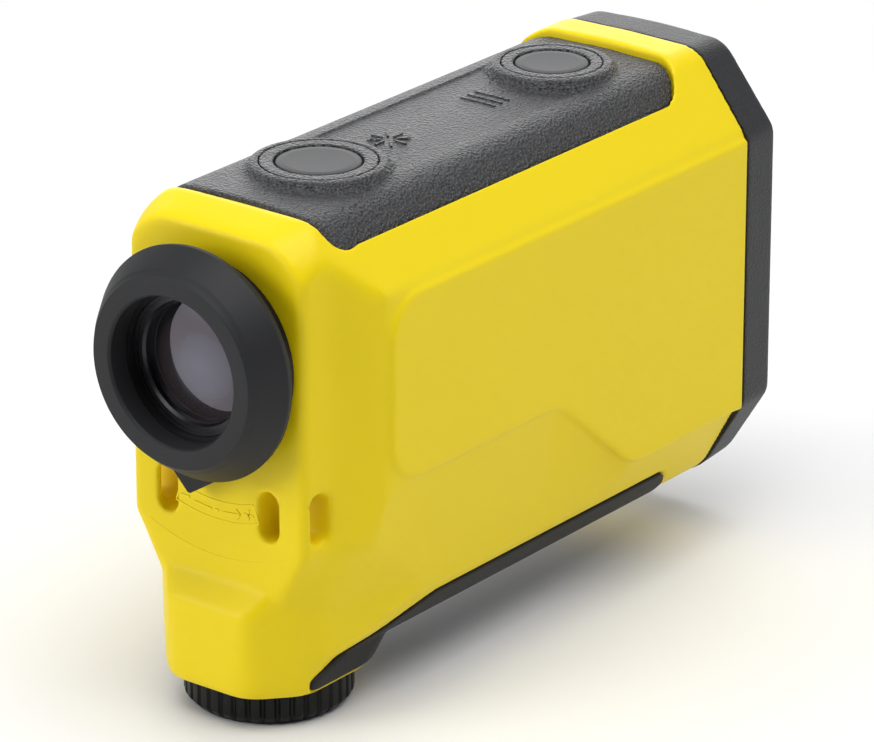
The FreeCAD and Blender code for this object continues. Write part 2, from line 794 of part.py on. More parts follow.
def button_parts():
    """Each button with its stem, and the fixed ring round it."""
    for name in ("measure", "mode"):
        radius = name + "_button_radius"
        button = turned(name + "_button", [
            ("0", "stem_low_z"), ("stem_radius", "stem_low_z"),
            ("stem_radius", "button_top_z - button_thickness"),
            (radius, "button_top_z - button_thickness"), (radius, "button_top_z - 0.35", None),
            (radius + " - 0.35", "button_top_z - 0.05"), ("0", "button_top_z - 0.2")],
            rotation=FLAT, y=name + "_y", z="0")
        keep(button, name + "_button")
        ring = turned(name + "_button_ring", [
            (radius + " + button_gap", "mound_foot_z"), (name + "_ring_radius", "mound_foot_z"),
            (name + "_ring_radius", "button_top_z"), (radius + " + button_gap", "button_top_z")],
            rotation=FLAT, y=name + "_y", z="0")
        keep(ring, name + "_button_ring")


# ---------------------------------------------------------------- underside

def bottom_strip():
    """The soft strip along the underside."""
    region = prism("strip_side", strip_side("0.1"), SIDEWAYS, "-30", "30")
    belly = prism("strip_outside", mirrored_corners(belly_section("strip_proud")), ACROSS, "-60", "60")
    belly = common("strip_over_belly", [belly, casing_plan()])
    outside = fuse("strip_whole", [belly, boss("strip_over_boss", "strip_proud")])
    skin = common("strip_blank", [region, outside])
    return keep(off_its_bed("bottom_strip", skin), "bottom_strip")


def battery_parts():
    """The cell and the contact above it."""
    cell = turned("battery_cell", [
        ("0", "battery_low_z"), ("battery_radius - 0.6", "battery_low_z"),
        ("battery_radius", "battery_low_z + 0.6"), ("battery_radius", "battery_high_z - 1.4"),
        ("battery_radius - 0.8", "battery_high_z - 0.8"), ("3.2", "battery_high_z - 0.8"),
        ("3.2", "battery_high_z"), ("0", "battery_high_z")], rotation=FLAT, y="battery_y", z="0")
    keep(cell, "battery_cell")
    contact = turned("battery_top_contact", [
        ("0", "battery_high_z"), ("2.4", "battery_high_z"), ("6.5", "tube_high_z - 0.9"),
        ("6.5", "tube_high_z"), ("5.6", "tube_high_z"), ("2.0", "battery_high_z + 0.7"),
        ("0", "battery_high_z + 0.7")], rotation=FLAT, y="battery_y", z="0")
    keep(contact, "battery_top_contact")


def battery_cap():
    """The ribbed screw cap, with a slot for a coin in its foot."""
    cap = turned("battery_cap_blank", [
        ("0", "0"), ("cap_foot_radius", "0"), ("cap_radius", "1.3"), ("cap_radius", "cap_high_z"),
        ("spigot_radius", "cap_high_z"), ("spigot_radius", "spigot_high_z"),
        ("8.6", "spigot_high_z"), ("8.6", "cap_floor_z"), ("0", "cap_floor_z")],
        rotation=FLAT, y="battery_y", z="0")
    tools = [block("coin_slot", ("-8", "8"), ("battery_y - 1.1", "battery_y + 1.1"), ("-1", "1.2"))]
    ribs = 36
    for number in range(ribs):
        turn = 2 * math.pi * number / ribs
        groove = document.addObject("Part::Cylinder", "cap_groove_%02d" % number)
        groove.Radius = 0.32
        groove.Height = 6.0
        reach = amount("cap_radius") + 0.08
        centre = Vector(reach * math.cos(turn), amount("battery_y") + reach * math.sin(turn), -0.5)
        groove.Placement = Placement(centre, Rotation())
        tools.append(groove)
    seal_groove = turned("cap_seal_groove", [
        ("9.4", "6.0"), ("11.0", "6.0"), ("11.0", "7.0"), ("9.4", "7.0")],
        rotation=FLAT, y="battery_y", z="0")
    keep(cut("battery_cap", cap, tools + [seal_groove]), "battery_cap")
    seal = turned("battery_cap_seal", [
        ("9.4", "6.0"), ("spigot_radius", "6.0"), ("spigot_radius", "7.0"), ("9.4", "7.0")],
        rotation=FLAT, y="battery_y", z="0")
    keep(seal, "battery_cap_seal")


def battery_cap_contact():
    """The contact plate and coil in the cap; the coil's turns are rings on a common web."""
    plate = turned("cap_contact", [
        ("0", "cap_floor_z + 0.05"), ("7.8", "cap_floor_z + 0.05"), ("7.8", "cap_floor_z + 0.45"),
        ("5.4", "cap_floor_z + 0.45"), ("4.2", "battery_low_z - 0.35"), ("3.6", "battery_low_z - 0.35"),
        ("4.8", "cap_floor_z + 0.45"), ("0", "cap_floor_z + 0.45")],
        rotation=FLAT, y="battery_y", z="0")
    keep(plate, "battery_cap_contact")


# ---------------------------------------------------------------- eyepiece

def eyepiece_barrel():
    """The fixed tube in the rear plate."""
    barrel = turned("eyepiece_barrel", [
        ("barrel_bore", "barrel_rear_y"), ("barrel_radius", "barrel_rear_y"),
        ("barrel_radius", "plate_y + wall"), ("barrel_radius + 0.7", "plate_y + wall"),
        ("barrel_radius + 0.7", "plate_y + wall + 1.4"), ("barrel_radius", "plate_y + wall + 1.4"),
        ("barrel_radius", "barrel_front_y"), ("barrel_bore", "barrel_front_y")])
    keep(barrel, "eyepiece_barrel")
    seal = turned("eyepiece_seal", [
        ("barrel_radius", "plate_y + 0.8"), ("barrel_radius + 0.6", "plate_y + 0.8"),
        ("barrel_radius + 0.6", "plate_y + 1.7"), ("barrel_radius", "plate_y + 1.7")])
    keep(seal, "eyepiece_seal")


def diopter_ring():
    """The ring that the user turns, with its pointer."""
    ring = turned("diopter_ring_blank", [
        ("cell_radius + 0.06", "-51.6"), ("12.4", "-51.6"), ("12.4", "ring_shoulder_y"),
        ("ring_radius", "ring_shoulder_y"), ("ring_radius", "ring_front_y"),
        ("barrel_radius + 0.06", "ring_front_y"), ("barrel_radius + 0.06", "barrel_rear_y - 0.1"),
        ("cell_radius + 0.06", "barrel_rear_y - 0.1")])
    tab_corners = [("-5.6", "-12.9", None), ("5.6", "-12.9", None), ("4.5", "-16.3", None),
                   ("0", "-pointer_tip", "0.6"), ("-4.5", "-16.3", None)]
    tab = prism("pointer_tab", tab_corners, ACROSS, "-48.75", "-46.6")
    tab.Base.Placement = Placement(
        Vector(0, -48.75, amount("eye_z")),
        Rotation(Vector(0, 1, 0), amount("pointer_turn")).multiply(ACROSS))
    bind(tab.Base, "Placement.Base.z", "eye_z")
    bore = rod("pointer_bore", "barrel_radius + 0.06", "barrel_rear_y - 0.1", "ring_front_y + 0.1",
               z="eye_z", rotation=FORWARD)
    keep(cut("diopter_ring", fuse("diopter_ring_whole", [ring, tab]), [bore]), "diopter_ring")


def eyecup():
    """The rubber cup pressed over the ring."""
    cup = turned("eyecup", [
        ("cup_bore", "-51.6"), ("cup_bore", "cup_rear_y + 0.7"), ("cup_bore + 0.7", "cup_rear_y"),
        ("cup_face_radius - 0.4", "cup_rear_y"), ("cup_face_radius", "cup_rear_y + 0.4"),
        ("cup_rim_radius", "cup_rim_y"), ("cup_rim_radius - 0.3", "cup_rim_y + 1.0"),
        ("ring_radius + 0.1", "cup_rim_y + 1.5"), ("12.4", "cup_rim_y + 1.5"), ("12.4", "-51.6")])
    keep(cup, "eyecup")


def eyepiece_optics():
    """The sliding cell with its lenses."""
    cell = turned("lens_cell", [
        ("lens_seat", "cell_rear_y"), ("cell_radius", "cell_rear_y"), ("cell_radius", "cell_front_y"),
        ("cell_clear", "cell_front_y"), ("cell_clear", "-46.0"), ("lens_seat", "-46.0")])
    keep(cell, "lens_cell")
    lens = turned("eye_lens", [
        ("0", "-50.0"), ("4.6", "-49.75"), ("lens_seat", "-48.9"), ("lens_seat", "-46.0"),
        ("cell_clear", "-46.0"), ("4.6", "-45.2"), ("0", "-44.9")])
    keep(lens, "eye_lens")
    ring = turned("eye_lens_retaining_ring_blank", [
        ("8.5", "-49.9"), ("8.8", "-50.3"), ("lens_seat", "-50.3"), ("lens_seat", "-48.9"),
        ("8.5", "-49.12")])
    notch = block("retaining_ring_notch", ("-0.7", "0.7"), ("-51", "-49.7"), ("-12", "12"))
    notch.Placement = Placement(Vector(0, -51, amount("eye_z")), Rotation(Vector(0, 1, 0), -42)).multiply(
        Placement(Vector(-0.7, 0, -12), Rotation()))
    keep(cut("eye_lens_retaining_ring", ring, [notch]), "eye_lens_retaining_ring")
    field = turned("field_lens", [
        ("0", "-41.8"), ("cell_clear", "-41.2"), ("cell_clear", "-39.6"), ("0", "-39.0")])
    keep(field, "field_lens")


# ---------------------------------------------------------------- inside

def optical_chassis():
    """The frame that holds both front lenses, the prisms and the boards."""
    pieces = [
        rod("upper_tube", "12.4", "18", "bezel_front_y - 4.9", z="eye_z", rotation=FORWARD),
        rod("lower_tube", "10.6", "10", "bezel_front_y - 4.9", z="receiver_z", rotation=FORWARD),
        block("tube_web", ("-4", "4"), ("12", "44"), ("28", "50")),
        block("prism_tray", ("-10.5", "10.5"), ("-30", "24"), ("40.0", "42.0")),
        block("prism_wall_left", ("-11.9", "-10.5"), ("-30", "24"), ("40.0", "60")),
        block("prism_wall_right", ("10.5", "11.9"), ("-30", "24"), ("40.0", "60")),
        block("chassis_flange", ("-15.4", "15.4"), ("41", "44"), ("24", "60")),
    ]
    tools = [
        rod("upper_bore", "objective_radius - 1.2", "10", "56", z="eye_z", rotation=FORWARD),
        rod("lower_bore", "receiver_radius - 1.2", "9", "56", z="receiver_z", rotation=FORWARD),
        block("laser_window", ("10", "12.5"), ("4.5", "7.5"), ("50.5", "53.5")),
        chassis_screws(),
    ]
    keep(cut("optical_chassis", fuse("chassis_whole", pieces), tools), "optical_chassis")


def chassis_screws():
    """The four screws that hold the chassis and bezel together."""
    into_front = Rotation(Vector(1, 0, 0), 90)
    corners = [(x, z) for z in ("58", "26") for x in ("-13.4", "13.4")]
    screws = [screw("chassis_screw_%d" % number, x, "41", z, into_front, 2.9)
              for number, (x, z) in enumerate(corners)]
    return keep(group("chassis_screws", screws), "chassis_screws")


def prisms():
    """The erecting prism pair between objective and eyepiece."""
    rear = prism("prism_rear", [("-26", "44.2", None), ("-10", "44.2", None), ("-16", "62.4", None),
                                ("-26", "62.4", None)], SIDEWAYS, "-9", "9")
    keep(rear, "prism_rear")
    front = prism("prism_front", [("-9.3", "44.2", None), ("9", "44.2", None), ("9", "56", None),
                                  ("3", "62.4", None), ("-15.3", "62.4", None)], SIDEWAYS, "-9", "9")
    keep(front, "prism_front")
    keep(block("internal_display", ("-8", "8"), ("-29.4", "-28.2"), ("45.3", "61.3")), "internal_display")


def electronics():
    """The boards and what is on them."""
    main_board = block("main_board_blank", ("-14.6", "-13.4"), ("-18", "38"), ("24", "60"))
    keep(cut("main_board", main_board, [main_board_screws()]), "main_board")
    parts = [
        block("processor", ("-16.0", "-14.6"), ("22", "32"), ("44", "54")),
        block("timing_chip", ("-15.9", "-14.6"), ("22", "29"), ("28", "35")),
        block("transformer", ("-13.4", "-11.2"), ("-14", "-8"), ("26", "32")),
        block("connector", ("-15.8", "-14.6"), ("-17", "-14.2"), ("32", "48")),
    ]
    for number in range(6):
        low = "%d" % (26 + 2 * number)
        high = "%.1f" % (27.2 + 2 * number)
        parts.append(block("capacitor_%d" % number, ("-15.4", "-14.6"), ("32", "33.6"), (low, high)))
    keep(group("board_components", parts), "board_components")
    button_board = block("button_board_blank", ("-8.5", "8.5"), ("-30", "36"), ("66.6", "67.6"))
    keep(cut("button_board", button_board, [button_board_screws()]), "button_board")
    switches = []
    for name in ("measure", "mode"):
        body = block(name + "_switch_body", ("-2.6", "2.6"), (name + "_y - 2.6", name + "_y + 2.6"),
                     ("67.6", "68.9"))
        dome = rod(name + "_switch_dome", "1.5", "68.9", "69.4", y=name + "_y")
        switches.append(fuse(name + "_switch", [body, dome]))
    keep(group("tactile_switches", switches), "tactile_switches")
    flex = prism("button_flex", [
        ("-14.9", "60", None), ("-14.9", "64.4", None), ("-8.6", "66.6", None), ("-7.2", "66.6", None),
        ("-7.2", "66.4", None), ("-8.6", "66.4", None), ("-14.6", "64.2", None), ("-14.6", "60", None)],
        ACROSS, "4", "14")
    keep(flex, "button_flex")


def detector_and_laser():
    """The receiver's detector behind the lower lens, and the laser module beside the prism."""
    detector = fuse("detector_whole", [
        block("detector_board", ("-7.5", "7.5"), ("8.8", "10"), ("19", "34")),
        rod("detector_can", "4.1", "10", "11.6", z="receiver_z", rotation=FORWARD),
    ])
    keep(detector, "receiver_detector")
    inwards = Rotation(Vector(0, 1, 0), -90)
    laser = turned("laser_diode", [
        ("0", "0"), ("4.6", "0"), ("4.6", "1.6"), ("3.4", "1.6"), ("3.4", "5.2"), ("0", "5.2")],
        rotation=inwards, x="17.15", y="6", z="52")
    keep(laser, "laser_diode")


def side_display():
    """The display on the left side: window, frame and panel."""
    window = block("display_window", ("-20.8", "-18.8"), ("display_rear_y", "display_front_y"),
                   ("display_low_z", "display_high_z"))
    keep(window, "display_window")
    frame_outer = block("display_frame_outer", ("-18.0", "-16.2"),
                        ("display_rear_y + 0.4", "display_front_y - 0.4"),
                        ("display_low_z + 0.4", "display_high_z - 0.4"))
    frame_inner = block("display_frame_inner", ("-19", "-15"),
                        ("display_rear_y + 2.4", "display_front_y - 2.4"),
                        ("display_low_z + 2.4", "display_high_z - 2.4"))
    keep(cut("display_frame", frame_outer, [frame_inner]), "display_frame")
    keep(block("display_panel", ("-17.8", "-16.2"), ("display_rear_y + 2.4", "display_front_y - 2.4"),
               ("display_low_z + 2.4", "display_high_z - 2.4")), "display_panel")


def screw(name, x, y, z, rotation, length):
    """A pan-head screw with a socket, its head's underside at its place."""
    head = document.addObject("Part::Cylinder", name + "_head")
    head.Radius = 1.5
    head.Height = 1.0
    shank = document.addObject("Part::Cylinder", name + "_shank")
    shank.Radius = 0.8
    shank.Height = length
    shank.Placement = Placement(Vector(0, 0, -length), Rotation())
    socket = document.addObject("Part::Prism", name + "_socket")
    socket.Polygon = 6
    socket.Circumradius = 0.65
    socket.Height = 1.0
    socket.Placement = Placement(Vector(0, 0, 0.4), Rotation())
    whole = cut(name, fuse(name + "_blank", [head, shank]), [socket])
    return place(whole, rotation, x, y, z)


def button_board_screws():
    """The two screws of the button board."""
    screws = [screw("button_board_screw_%d" % number, "0", y, "67.6", Rotation(), 0.95)
              for number, y in enumerate(("-10", "12"))]
    return keep(group("button_board_screws", screws), "button_board_screws")


def main_board_screws():
    """The three screws of the main board."""
    outward = Rotation(Vector(0, 1, 0), -90)
    screws = [screw("main_board_screw_%d" % number, "-14.6", y, z, outward, 1.15)
              for number, (y, z) in enumerate((("36", "58"), ("36", "26"), ("-16", "26")))]
    return keep(group("main_board_screws", screws), "main_board_screws")


# ---------------------------------------------------------------- build and write

def check_document():
    """Stop if any object failed, or a sub-part has no valid shape."""
    for item in document.Objects:
        states = set(item.State) & {"Invalid", "Error"}
        if states:
            raise RuntimeError("%s is %s" % (item.Label, states))
    for item in SUB_PARTS:
        if item.Shape.isNull() or not item.Shape.isValid() or not item.Shape.Solids:
            raise RuntimeError("%s has no valid shape" % item.Label)


main_housing()
front_bezel()
front_gasket()
objective_parts()
top_panel()
button_parts()
bottom_strip()
battery_parts()
battery_cap()
battery_cap_contact()
eyepiece_barrel()
diopter_ring()
eyecup()
eyepiece_optics()
optical_chassis()
prisms()
electronics()
detector_and_laser()
side_display()
document.recompute()
check_document()

os.makedirs("parts", exist_ok=True)
for sub_part in SUB_PARTS:
    sub_part.Shape.exportStep("parts/%s.step" % sub_part.Label)
    box = sub_part.Shape.BoundBox
    print("%-26s %7.2f %7.2f | %7.2f %7.2f | %7.2f %7.2f | %d solids, %.0f mm3" % (
        sub_part.Label, box.XMin, box.XMax, box.YMin, box.YMax, box.ZMin, box.ZMax,
        len(sub_part.Shape.Solids), sub_part.Shape.Volume))
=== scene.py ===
import math

import bmesh
import bpy
import numpy as np
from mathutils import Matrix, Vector
from mathutils.bvhtree import BVHTree


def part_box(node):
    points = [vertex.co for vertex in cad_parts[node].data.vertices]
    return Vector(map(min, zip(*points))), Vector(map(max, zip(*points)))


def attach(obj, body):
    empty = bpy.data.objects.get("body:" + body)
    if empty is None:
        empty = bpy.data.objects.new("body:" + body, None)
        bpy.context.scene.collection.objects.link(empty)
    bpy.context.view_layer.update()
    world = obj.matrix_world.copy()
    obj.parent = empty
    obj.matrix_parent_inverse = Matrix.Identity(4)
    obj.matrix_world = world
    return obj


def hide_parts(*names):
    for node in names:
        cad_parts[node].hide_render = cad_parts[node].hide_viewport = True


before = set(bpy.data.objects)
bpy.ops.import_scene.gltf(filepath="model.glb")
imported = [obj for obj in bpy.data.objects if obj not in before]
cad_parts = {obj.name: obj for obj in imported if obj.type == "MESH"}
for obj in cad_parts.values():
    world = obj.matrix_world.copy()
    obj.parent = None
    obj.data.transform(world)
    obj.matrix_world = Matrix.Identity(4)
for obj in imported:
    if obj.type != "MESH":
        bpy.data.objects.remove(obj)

# A handheld laser rangefinder monocular, seen from its rear right.
# Y points to the target, X to the user's right and Z up.
# Lengths are written in millimetres and turned into metres by MM, apart from those in the studio.

MM = 0.001
X, Y, Z = range(3)
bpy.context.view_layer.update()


# ---------------------------------------------------------------- sizes from the frame

def lowest(name, axis):
    """A CAD node's lowest place along an axis, to 0.01 mm."""
    return round(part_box(name)[0][axis] / MM, 2)


def highest(name, axis):
    """A CAD node's highest place along an axis, to 0.01 mm."""
    return round(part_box(name)[1][axis] / MM, 2)


def middle(name, axis):
    """The middle of a CAD node along an axis, to 0.01 mm."""
    low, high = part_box(name)
    return round((low[axis] + high[axis]) / 2 / MM, 2)


EYE_Z = middle("eye_lens", Z)
LENS_RADIUS = highest("eye_lens", X)
CUP_RADIUS = highest("eyecup", X)
CUP_FACE_Y = lowest("eyecup", Y)
CUP_END_Y = highest("eyecup", Y)
RING_END_Y = lowest("diopter_ring", Y)

CAP_Y = middle("battery_cap", Y)
CAP_TOP_Z = highest("battery_cap", Z)

MEASURE_Y = middle("measure_button", Y)
MEASURE_RADIUS = highest("measure_button", X)
MEASURE_RING = highest("measure_button_ring", X)
MODE_Y = middle("mode_button", Y)
MODE_RADIUS = highest("mode_button", X)
MODE_RING = highest("mode_button_ring", X)
BUTTON_FOOT_Z = lowest("measure_button", Z)
BUTTON_TOP_Z = highest("measure_button_ring", Z)
MOUND_FOOT_Z = lowest("measure_button_ring", Z)

DISPLAY_Y = middle("display_panel", Y)
DISPLAY_Z = middle("display_panel", Z)
SEAM_Y = highest("main_housing", Y)

# The flat plate behind the eyecup, the crease on each side of the top panel's centre strip, and the
# places of the marks between the buttons.
PLATE_Y = -45.8
CREASE_X = 8.6
CREASE_DEPTH = 0.26
BURST_Y = MEASURE_Y + 15.2
BARS_Y = MODE_Y - 15.5


# ---------------------------------------------------------------- materials

# The sockets of a mix node that is set to colours.
MIX_SHARE, MIX_FIRST, MIX_SECOND = 0, 6, 7
MIX_RESULT = 2


def set_inputs(item, values):
    """Set a node's input sockets by their names."""
    for socket, value in values.items():
        item.inputs[socket].default_value = value


def material(name, color, roughness=0.5, metallic=0.0, specular=0.5, coat=0.0, coat_roughness=0.1):
    """A principled material and its node tree."""
    made = bpy.data.materials.new(name)
    made.use_nodes = True
    set_inputs(shader_of(made), {
        "Base Color": (*color, 1.0),
        "Roughness": roughness,
        "Metallic": metallic,
        "Specular IOR Level": specular,
        "Coat Weight": coat,
        "Coat Roughness": coat_roughness,
    })
    return made


def node(made, kind, **settings):
    """A node with its settings: a key that is no property of the node names an input socket."""
    item = made.node_tree.nodes.new(kind)
    for key, value in settings.items():
        if hasattr(item, key):
            setattr(item, key, value)
        else:
            item.inputs[key.replace("_", " ")].default_value = value
    return item


def wire(made, source, target):
    """Link an output socket to an input socket."""
    made.node_tree.links.new(source, target)


def shader_of(made):
    """The material's principled shader."""
    return made.node_tree.nodes["Principled BSDF"]


def object_place(made):
    """The object's own coordinates, in metres."""
    return node(made, "ShaderNodeTexCoord").outputs["Object"]


def noise(made, scale, detail=3.0, roughness=0.5):
    """A 0 to 1 cloud texture; scale is in clouds a metre."""
    texture = node(made, "ShaderNodeTexNoise", Scale=scale, Detail=detail, Roughness=roughness)
    wire(made, object_place(made), texture.inputs["Vector"])
    return texture.outputs["Fac"]


def pebbles(made, scale):
    """Cells as on moulded leather grain."""
    texture = node(made, "ShaderNodeTexVoronoi", Scale=scale)
    wire(made, object_place(made), texture.inputs["Vector"])
    return texture.outputs["Distance"]


def contrast(made, source, low, high):
    """The part of a value between low and high, stretched to 0 to 1."""
    ramp = node(made, "ShaderNodeMapRange")
    set_inputs(ramp, {"From Min": low, "From Max": high})
    wire(made, source, ramp.inputs["Value"])
    return ramp.outputs["Result"]


def spread(made, source, low, high):
    """A 0 to 1 value turned into a range."""
    ramp = node(made, "ShaderNodeMapRange")
    set_inputs(ramp, {"To Min": low, "To Max": high})
    wire(made, source, ramp.inputs["Value"])
    return ramp.outputs["Result"]


def vary_roughness(made, source, low, high):
    """Let a 0 to 1 value move the roughness over a range."""
    wire(made, spread(made, source, low, high), shader_of(made).inputs["Roughness"])


def color_mix(made, source, first, second):
    """A node that goes from one colour to another with a 0 to 1 value."""
    mix = node(made, "ShaderNodeMix", data_type="RGBA")
    mix.inputs[MIX_FIRST].default_value = (*first, 1.0)
    mix.inputs[MIX_SECOND].default_value = (*second, 1.0)
    wire(made, source, mix.inputs[MIX_SHARE])
    return mix


def vary_color(made, source, first, second):
    """Let a 0 to 1 value move the colour from the first to the second."""
    mix = color_mix(made, source, first, second)
    wire(made, mix.outputs[MIX_RESULT], shader_of(made).inputs["Base Color"])


def bump(made, source, depth_mm, strength=1.0, below=None):
    """Raise the surface by a texture; bumps can be stacked."""
    item = node(made, "ShaderNodeBump")
    set_inputs(item, {"Strength": strength, "Distance": depth_mm * MM})
    wire(made, source, item.inputs["Height"])
    if below is not None:
        wire(made, below.outputs["Normal"], item.inputs["Normal"])
    wire(made, item.outputs["Normal"], shader_of(made).inputs["Normal"])
    return item


def painted_edge_highlight(made, color, amount):
    """Paint a highlight on the edges: slightly lighter there, by the mesh's own pointiness; the colour must
    be varied before.
    """
    smooth_edge, sharp_edge = 0.52, 0.60
    geometry = node(made, "ShaderNodeNewGeometry")
    share = contrast(made, geometry.outputs["Pointiness"], smooth_edge, sharp_edge)
    base = shader_of(made).inputs["Base Color"]
    mix = color_mix(made, spread(made, share, 0.0, amount), color, color)
    wire(made, base.links[0].from_socket, mix.inputs[MIX_FIRST])
    wire(made, mix.outputs[MIX_RESULT], base)


def yellow_plastic():
    """Satin yellow moulding with a very fine spark-eroded grain and a painted highlight on its sharper
    edges.
    """
    # The second colour is a painted highlight, laid on the sharper edges.
    color, edge_highlight_color = (0.86, 0.66, 0.003), (0.93, 0.76, 0.06)
    dark, light = (0.85, 0.65, 0.002), (0.87, 0.67, 0.004)
    cloud_scale, gloss_scale, grain_scale = 35.0, 900.0, 4200.0
    made = material("yellow_casing", color, 0.42, specular=0.24)
    vary_color(made, noise(made, cloud_scale, detail=2.0), dark, light)
    vary_roughness(made, noise(made, gloss_scale, detail=2.0), low=0.38, high=0.50)
    bump(made, noise(made, grain_scale, detail=2.0), depth_mm=0.010, strength=0.5)
    # Painted highlight: the sharper edges are painted lighter.
    painted_edge_highlight(made, edge_highlight_color, amount=0.15)
    return made


def leather_grain(name, color, light, cell_scale, depth_mm, rough, specular):
    """Grained dark plastic: pebbles with a finer grain over them, whose crests carry a painted highlight in
    a lighter colour.
    """
    made = material(name, color, 0.5, specular=specular)
    cells = pebbles(made, cell_scale)
    fine = noise(made, cell_scale * 1.1, roughness=0.6)
    # Painted highlight: the crests of the fine grain are painted in the lighter colour.
    vary_color(made, contrast(made, fine, low=0.36, high=0.64), color, light)
    vary_roughness(made, fine, *rough)
    coarse_bump = bump(made, cells, depth_mm, strength=0.9)
    bump(made, fine, depth_mm * 0.55, strength=0.7, below=coarse_bump)
    return made


def matt_rubber(name, color, light, rough=(0.5, 0.62), specular=0.3):
    """Matt rubber or plastic with a very fine grain."""
    cloud_scale, grain_scale = 120.0, 2600.0
    made = material(name, color, 0.55, specular=specular)
    grain = noise(made, grain_scale)
    vary_color(made, noise(made, cloud_scale), color, light)
    vary_roughness(made, grain, *rough)
    bump(made, grain, depth_mm=0.012, strength=0.5)
    return made


def coated_lens(name, tint, transmission, coat):
    """Polished glass with an interference coating, as a tinted clear coat."""
    made = material(name, tint, 0.03, specular=0.8, coat=coat, coat_roughness=0.02)
    set_inputs(shader_of(made), {
        "Transmission Weight": transmission,
        "IOR": 1.52,
        "Specular Tint": (0.84, 0.76, 0.92, 1.0),
        "Coat Tint": (0.90, 0.87, 0.95, 1.0),
    })
    vary_roughness(made, noise(made, 300.0, detail=2.0), low=0.015, high=0.05)
    return made


def eyepiece_glass():
    """Coated eye lens with painted reflections and painted shade: rings of painted reflection, grey-blue in
    the middle, going to dark green painted shade outside.
    """
    # Painted reflection and painted shade: a colour ramp by distance from a point near the axis, light in
    # the middle and dark towards the edge.
    reflection_centre, reflection_reach = (1.3, -49.0, EYE_Z - 0.6), 11.0
    reflection_stops = [(0.0, (0.160, 0.170, 0.200)), (0.30, (0.105, 0.110, 0.128)), (0.44, (0.072, 0.071, 0.080)),
             (0.48, (0.046, 0.041, 0.042)), (0.68, (0.036, 0.028, 0.027)), (0.76, (0.012, 0.012, 0.013)),
             (0.92, (0.003, 0.009, 0.008))]
    made = coated_lens("eye_glass_painted_reflections", reflection_stops[0][1], transmission=0.25, coat=0.6)
    away = node(made, "ShaderNodeVectorMath", operation="DISTANCE")
    away.inputs[1].default_value = Vector(reflection_centre) * MM
    wire(made, object_place(made), away.inputs[0])
    colors = node(made, "ShaderNodeValToRGB")
    band = colors.color_ramp
    while len(band.elements) < len(reflection_stops):
        band.elements.new(0.5)
    for element, (place, color) in zip(band.elements, reflection_stops):
        element.position = place
        element.color = (*color, 1.0)
    wire(made, contrast(made, away.outputs["Value"], 0.0, reflection_reach * MM), colors.inputs["Fac"])
    wire(made, colors.outputs["Color"], shader_of(made).inputs["Base Color"])
    return made


def window_glass():
    """Clear window with a black printed border on its rim, around the display's viewing area."""
    ink, glass, clearness = (0.006, 0.006, 0.007), (0.80, 0.84, 0.84), 0.92
    half_length, half_height = 12.1, 7.1
    made = coated_lens("window_clear", glass, clearness, coat=0.5)
    parts = node(made, "ShaderNodeSeparateXYZ")
    wire(made, object_place(made), parts.inputs[0])
    both = node(made, "ShaderNodeMath", operation="MULTIPLY")
    sides = (("Y", DISPLAY_Y, half_length), ("Z", DISPLAY_Z, half_height))
    for number, (axis, centre, half) in enumerate(sides):
        inside = node(made, "ShaderNodeMath", operation="COMPARE")
        inside.inputs[1].default_value = centre * MM
        inside.inputs[2].default_value = half * MM
        wire(made, parts.outputs[axis], inside.inputs[0])
        wire(made, inside.outputs["Value"], both.inputs[number])
    clear = both.outputs["Value"]
    vary_color(made, clear, ink, glass)
    wire(made, spread(made, clear, 0.0, clearness), shader_of(made).inputs["Transmission Weight"])
    return made


def metal(name, color, low, high):
    """Turned or drawn metal; low and high are its range of roughness."""
    gloss_scale, grain_scale = 1400.0, 3000.0
    made = material(name, color, 0.35, metallic=1.0)
    vary_roughness(made, noise(made, gloss_scale), low, high)
    bump(made, noise(made, grain_scale, detail=2.0), depth_mm=0.004, strength=0.4)
    return made


def circuit_material():
    """Green solder mask with slightly raised copper tracks."""
    mask, track = (0.01, 0.12, 0.04), (0.03, 0.22, 0.07)
    made = material("circuit_board", mask, 0.4)
    tracks = node(made, "ShaderNodeTexBrick", Scale=220.0)
    wire(made, object_place(made), tracks.inputs["Vector"])
    vary_color(made, tracks.outputs["Fac"], mask, track)
    vary_roughness(made, noise(made, 800.0), low=0.3, high=0.5)
    bump(made, tracks.outputs["Fac"], depth_mm=0.03, strength=0.6)
    return made


YELLOW = yellow_plastic()
# The second colour of each grain is the painted highlight on the crests of its fine grain.
TOP_GRAIN = leather_grain("top_panel_grain", (0.012, 0.0125, 0.0145), (0.062, 0.063, 0.068),
                          cell_scale=2300.0, depth_mm=0.34, rough=(0.32, 0.50), specular=0.5)
BEZEL_GRAIN = leather_grain("bezel_grain", (0.016, 0.0165, 0.019), (0.024, 0.025, 0.028),
                            cell_scale=2800.0, depth_mm=0.10, rough=(0.40, 0.54), specular=0.38)
BUTTON_SATIN = matt_rubber("button_satin", (0.020, 0.021, 0.024), (0.026, 0.027, 0.030), (0.44, 0.52))
CUP_RUBBER = matt_rubber("eyecup_rubber", (0.014, 0.0144, 0.0160), (0.019, 0.0195, 0.0215), (0.50, 0.62))
STRIP_RUBBER = matt_rubber("strip_rubber", (0.012, 0.012, 0.012), (0.018, 0.018, 0.018), (0.5, 0.65))
KNOB_PLASTIC = matt_rubber("cap_plastic", (0.003, 0.0032, 0.0037), (0.0045, 0.0047, 0.0054), (0.36, 0.48),
                           specular=0.22)
BLACK_PLASTIC = matt_rubber("black_plastic", (0.004, 0.004, 0.0045), (0.007, 0.007, 0.008), (0.36, 0.5))
SEAL_RUBBER = matt_rubber("seal_rubber", (0.01, 0.01, 0.01), (0.015, 0.015, 0.015), (0.35, 0.5))
BLACK_METAL = metal("black_metal", (0.055, 0.055, 0.060), low=0.3, high=0.45)
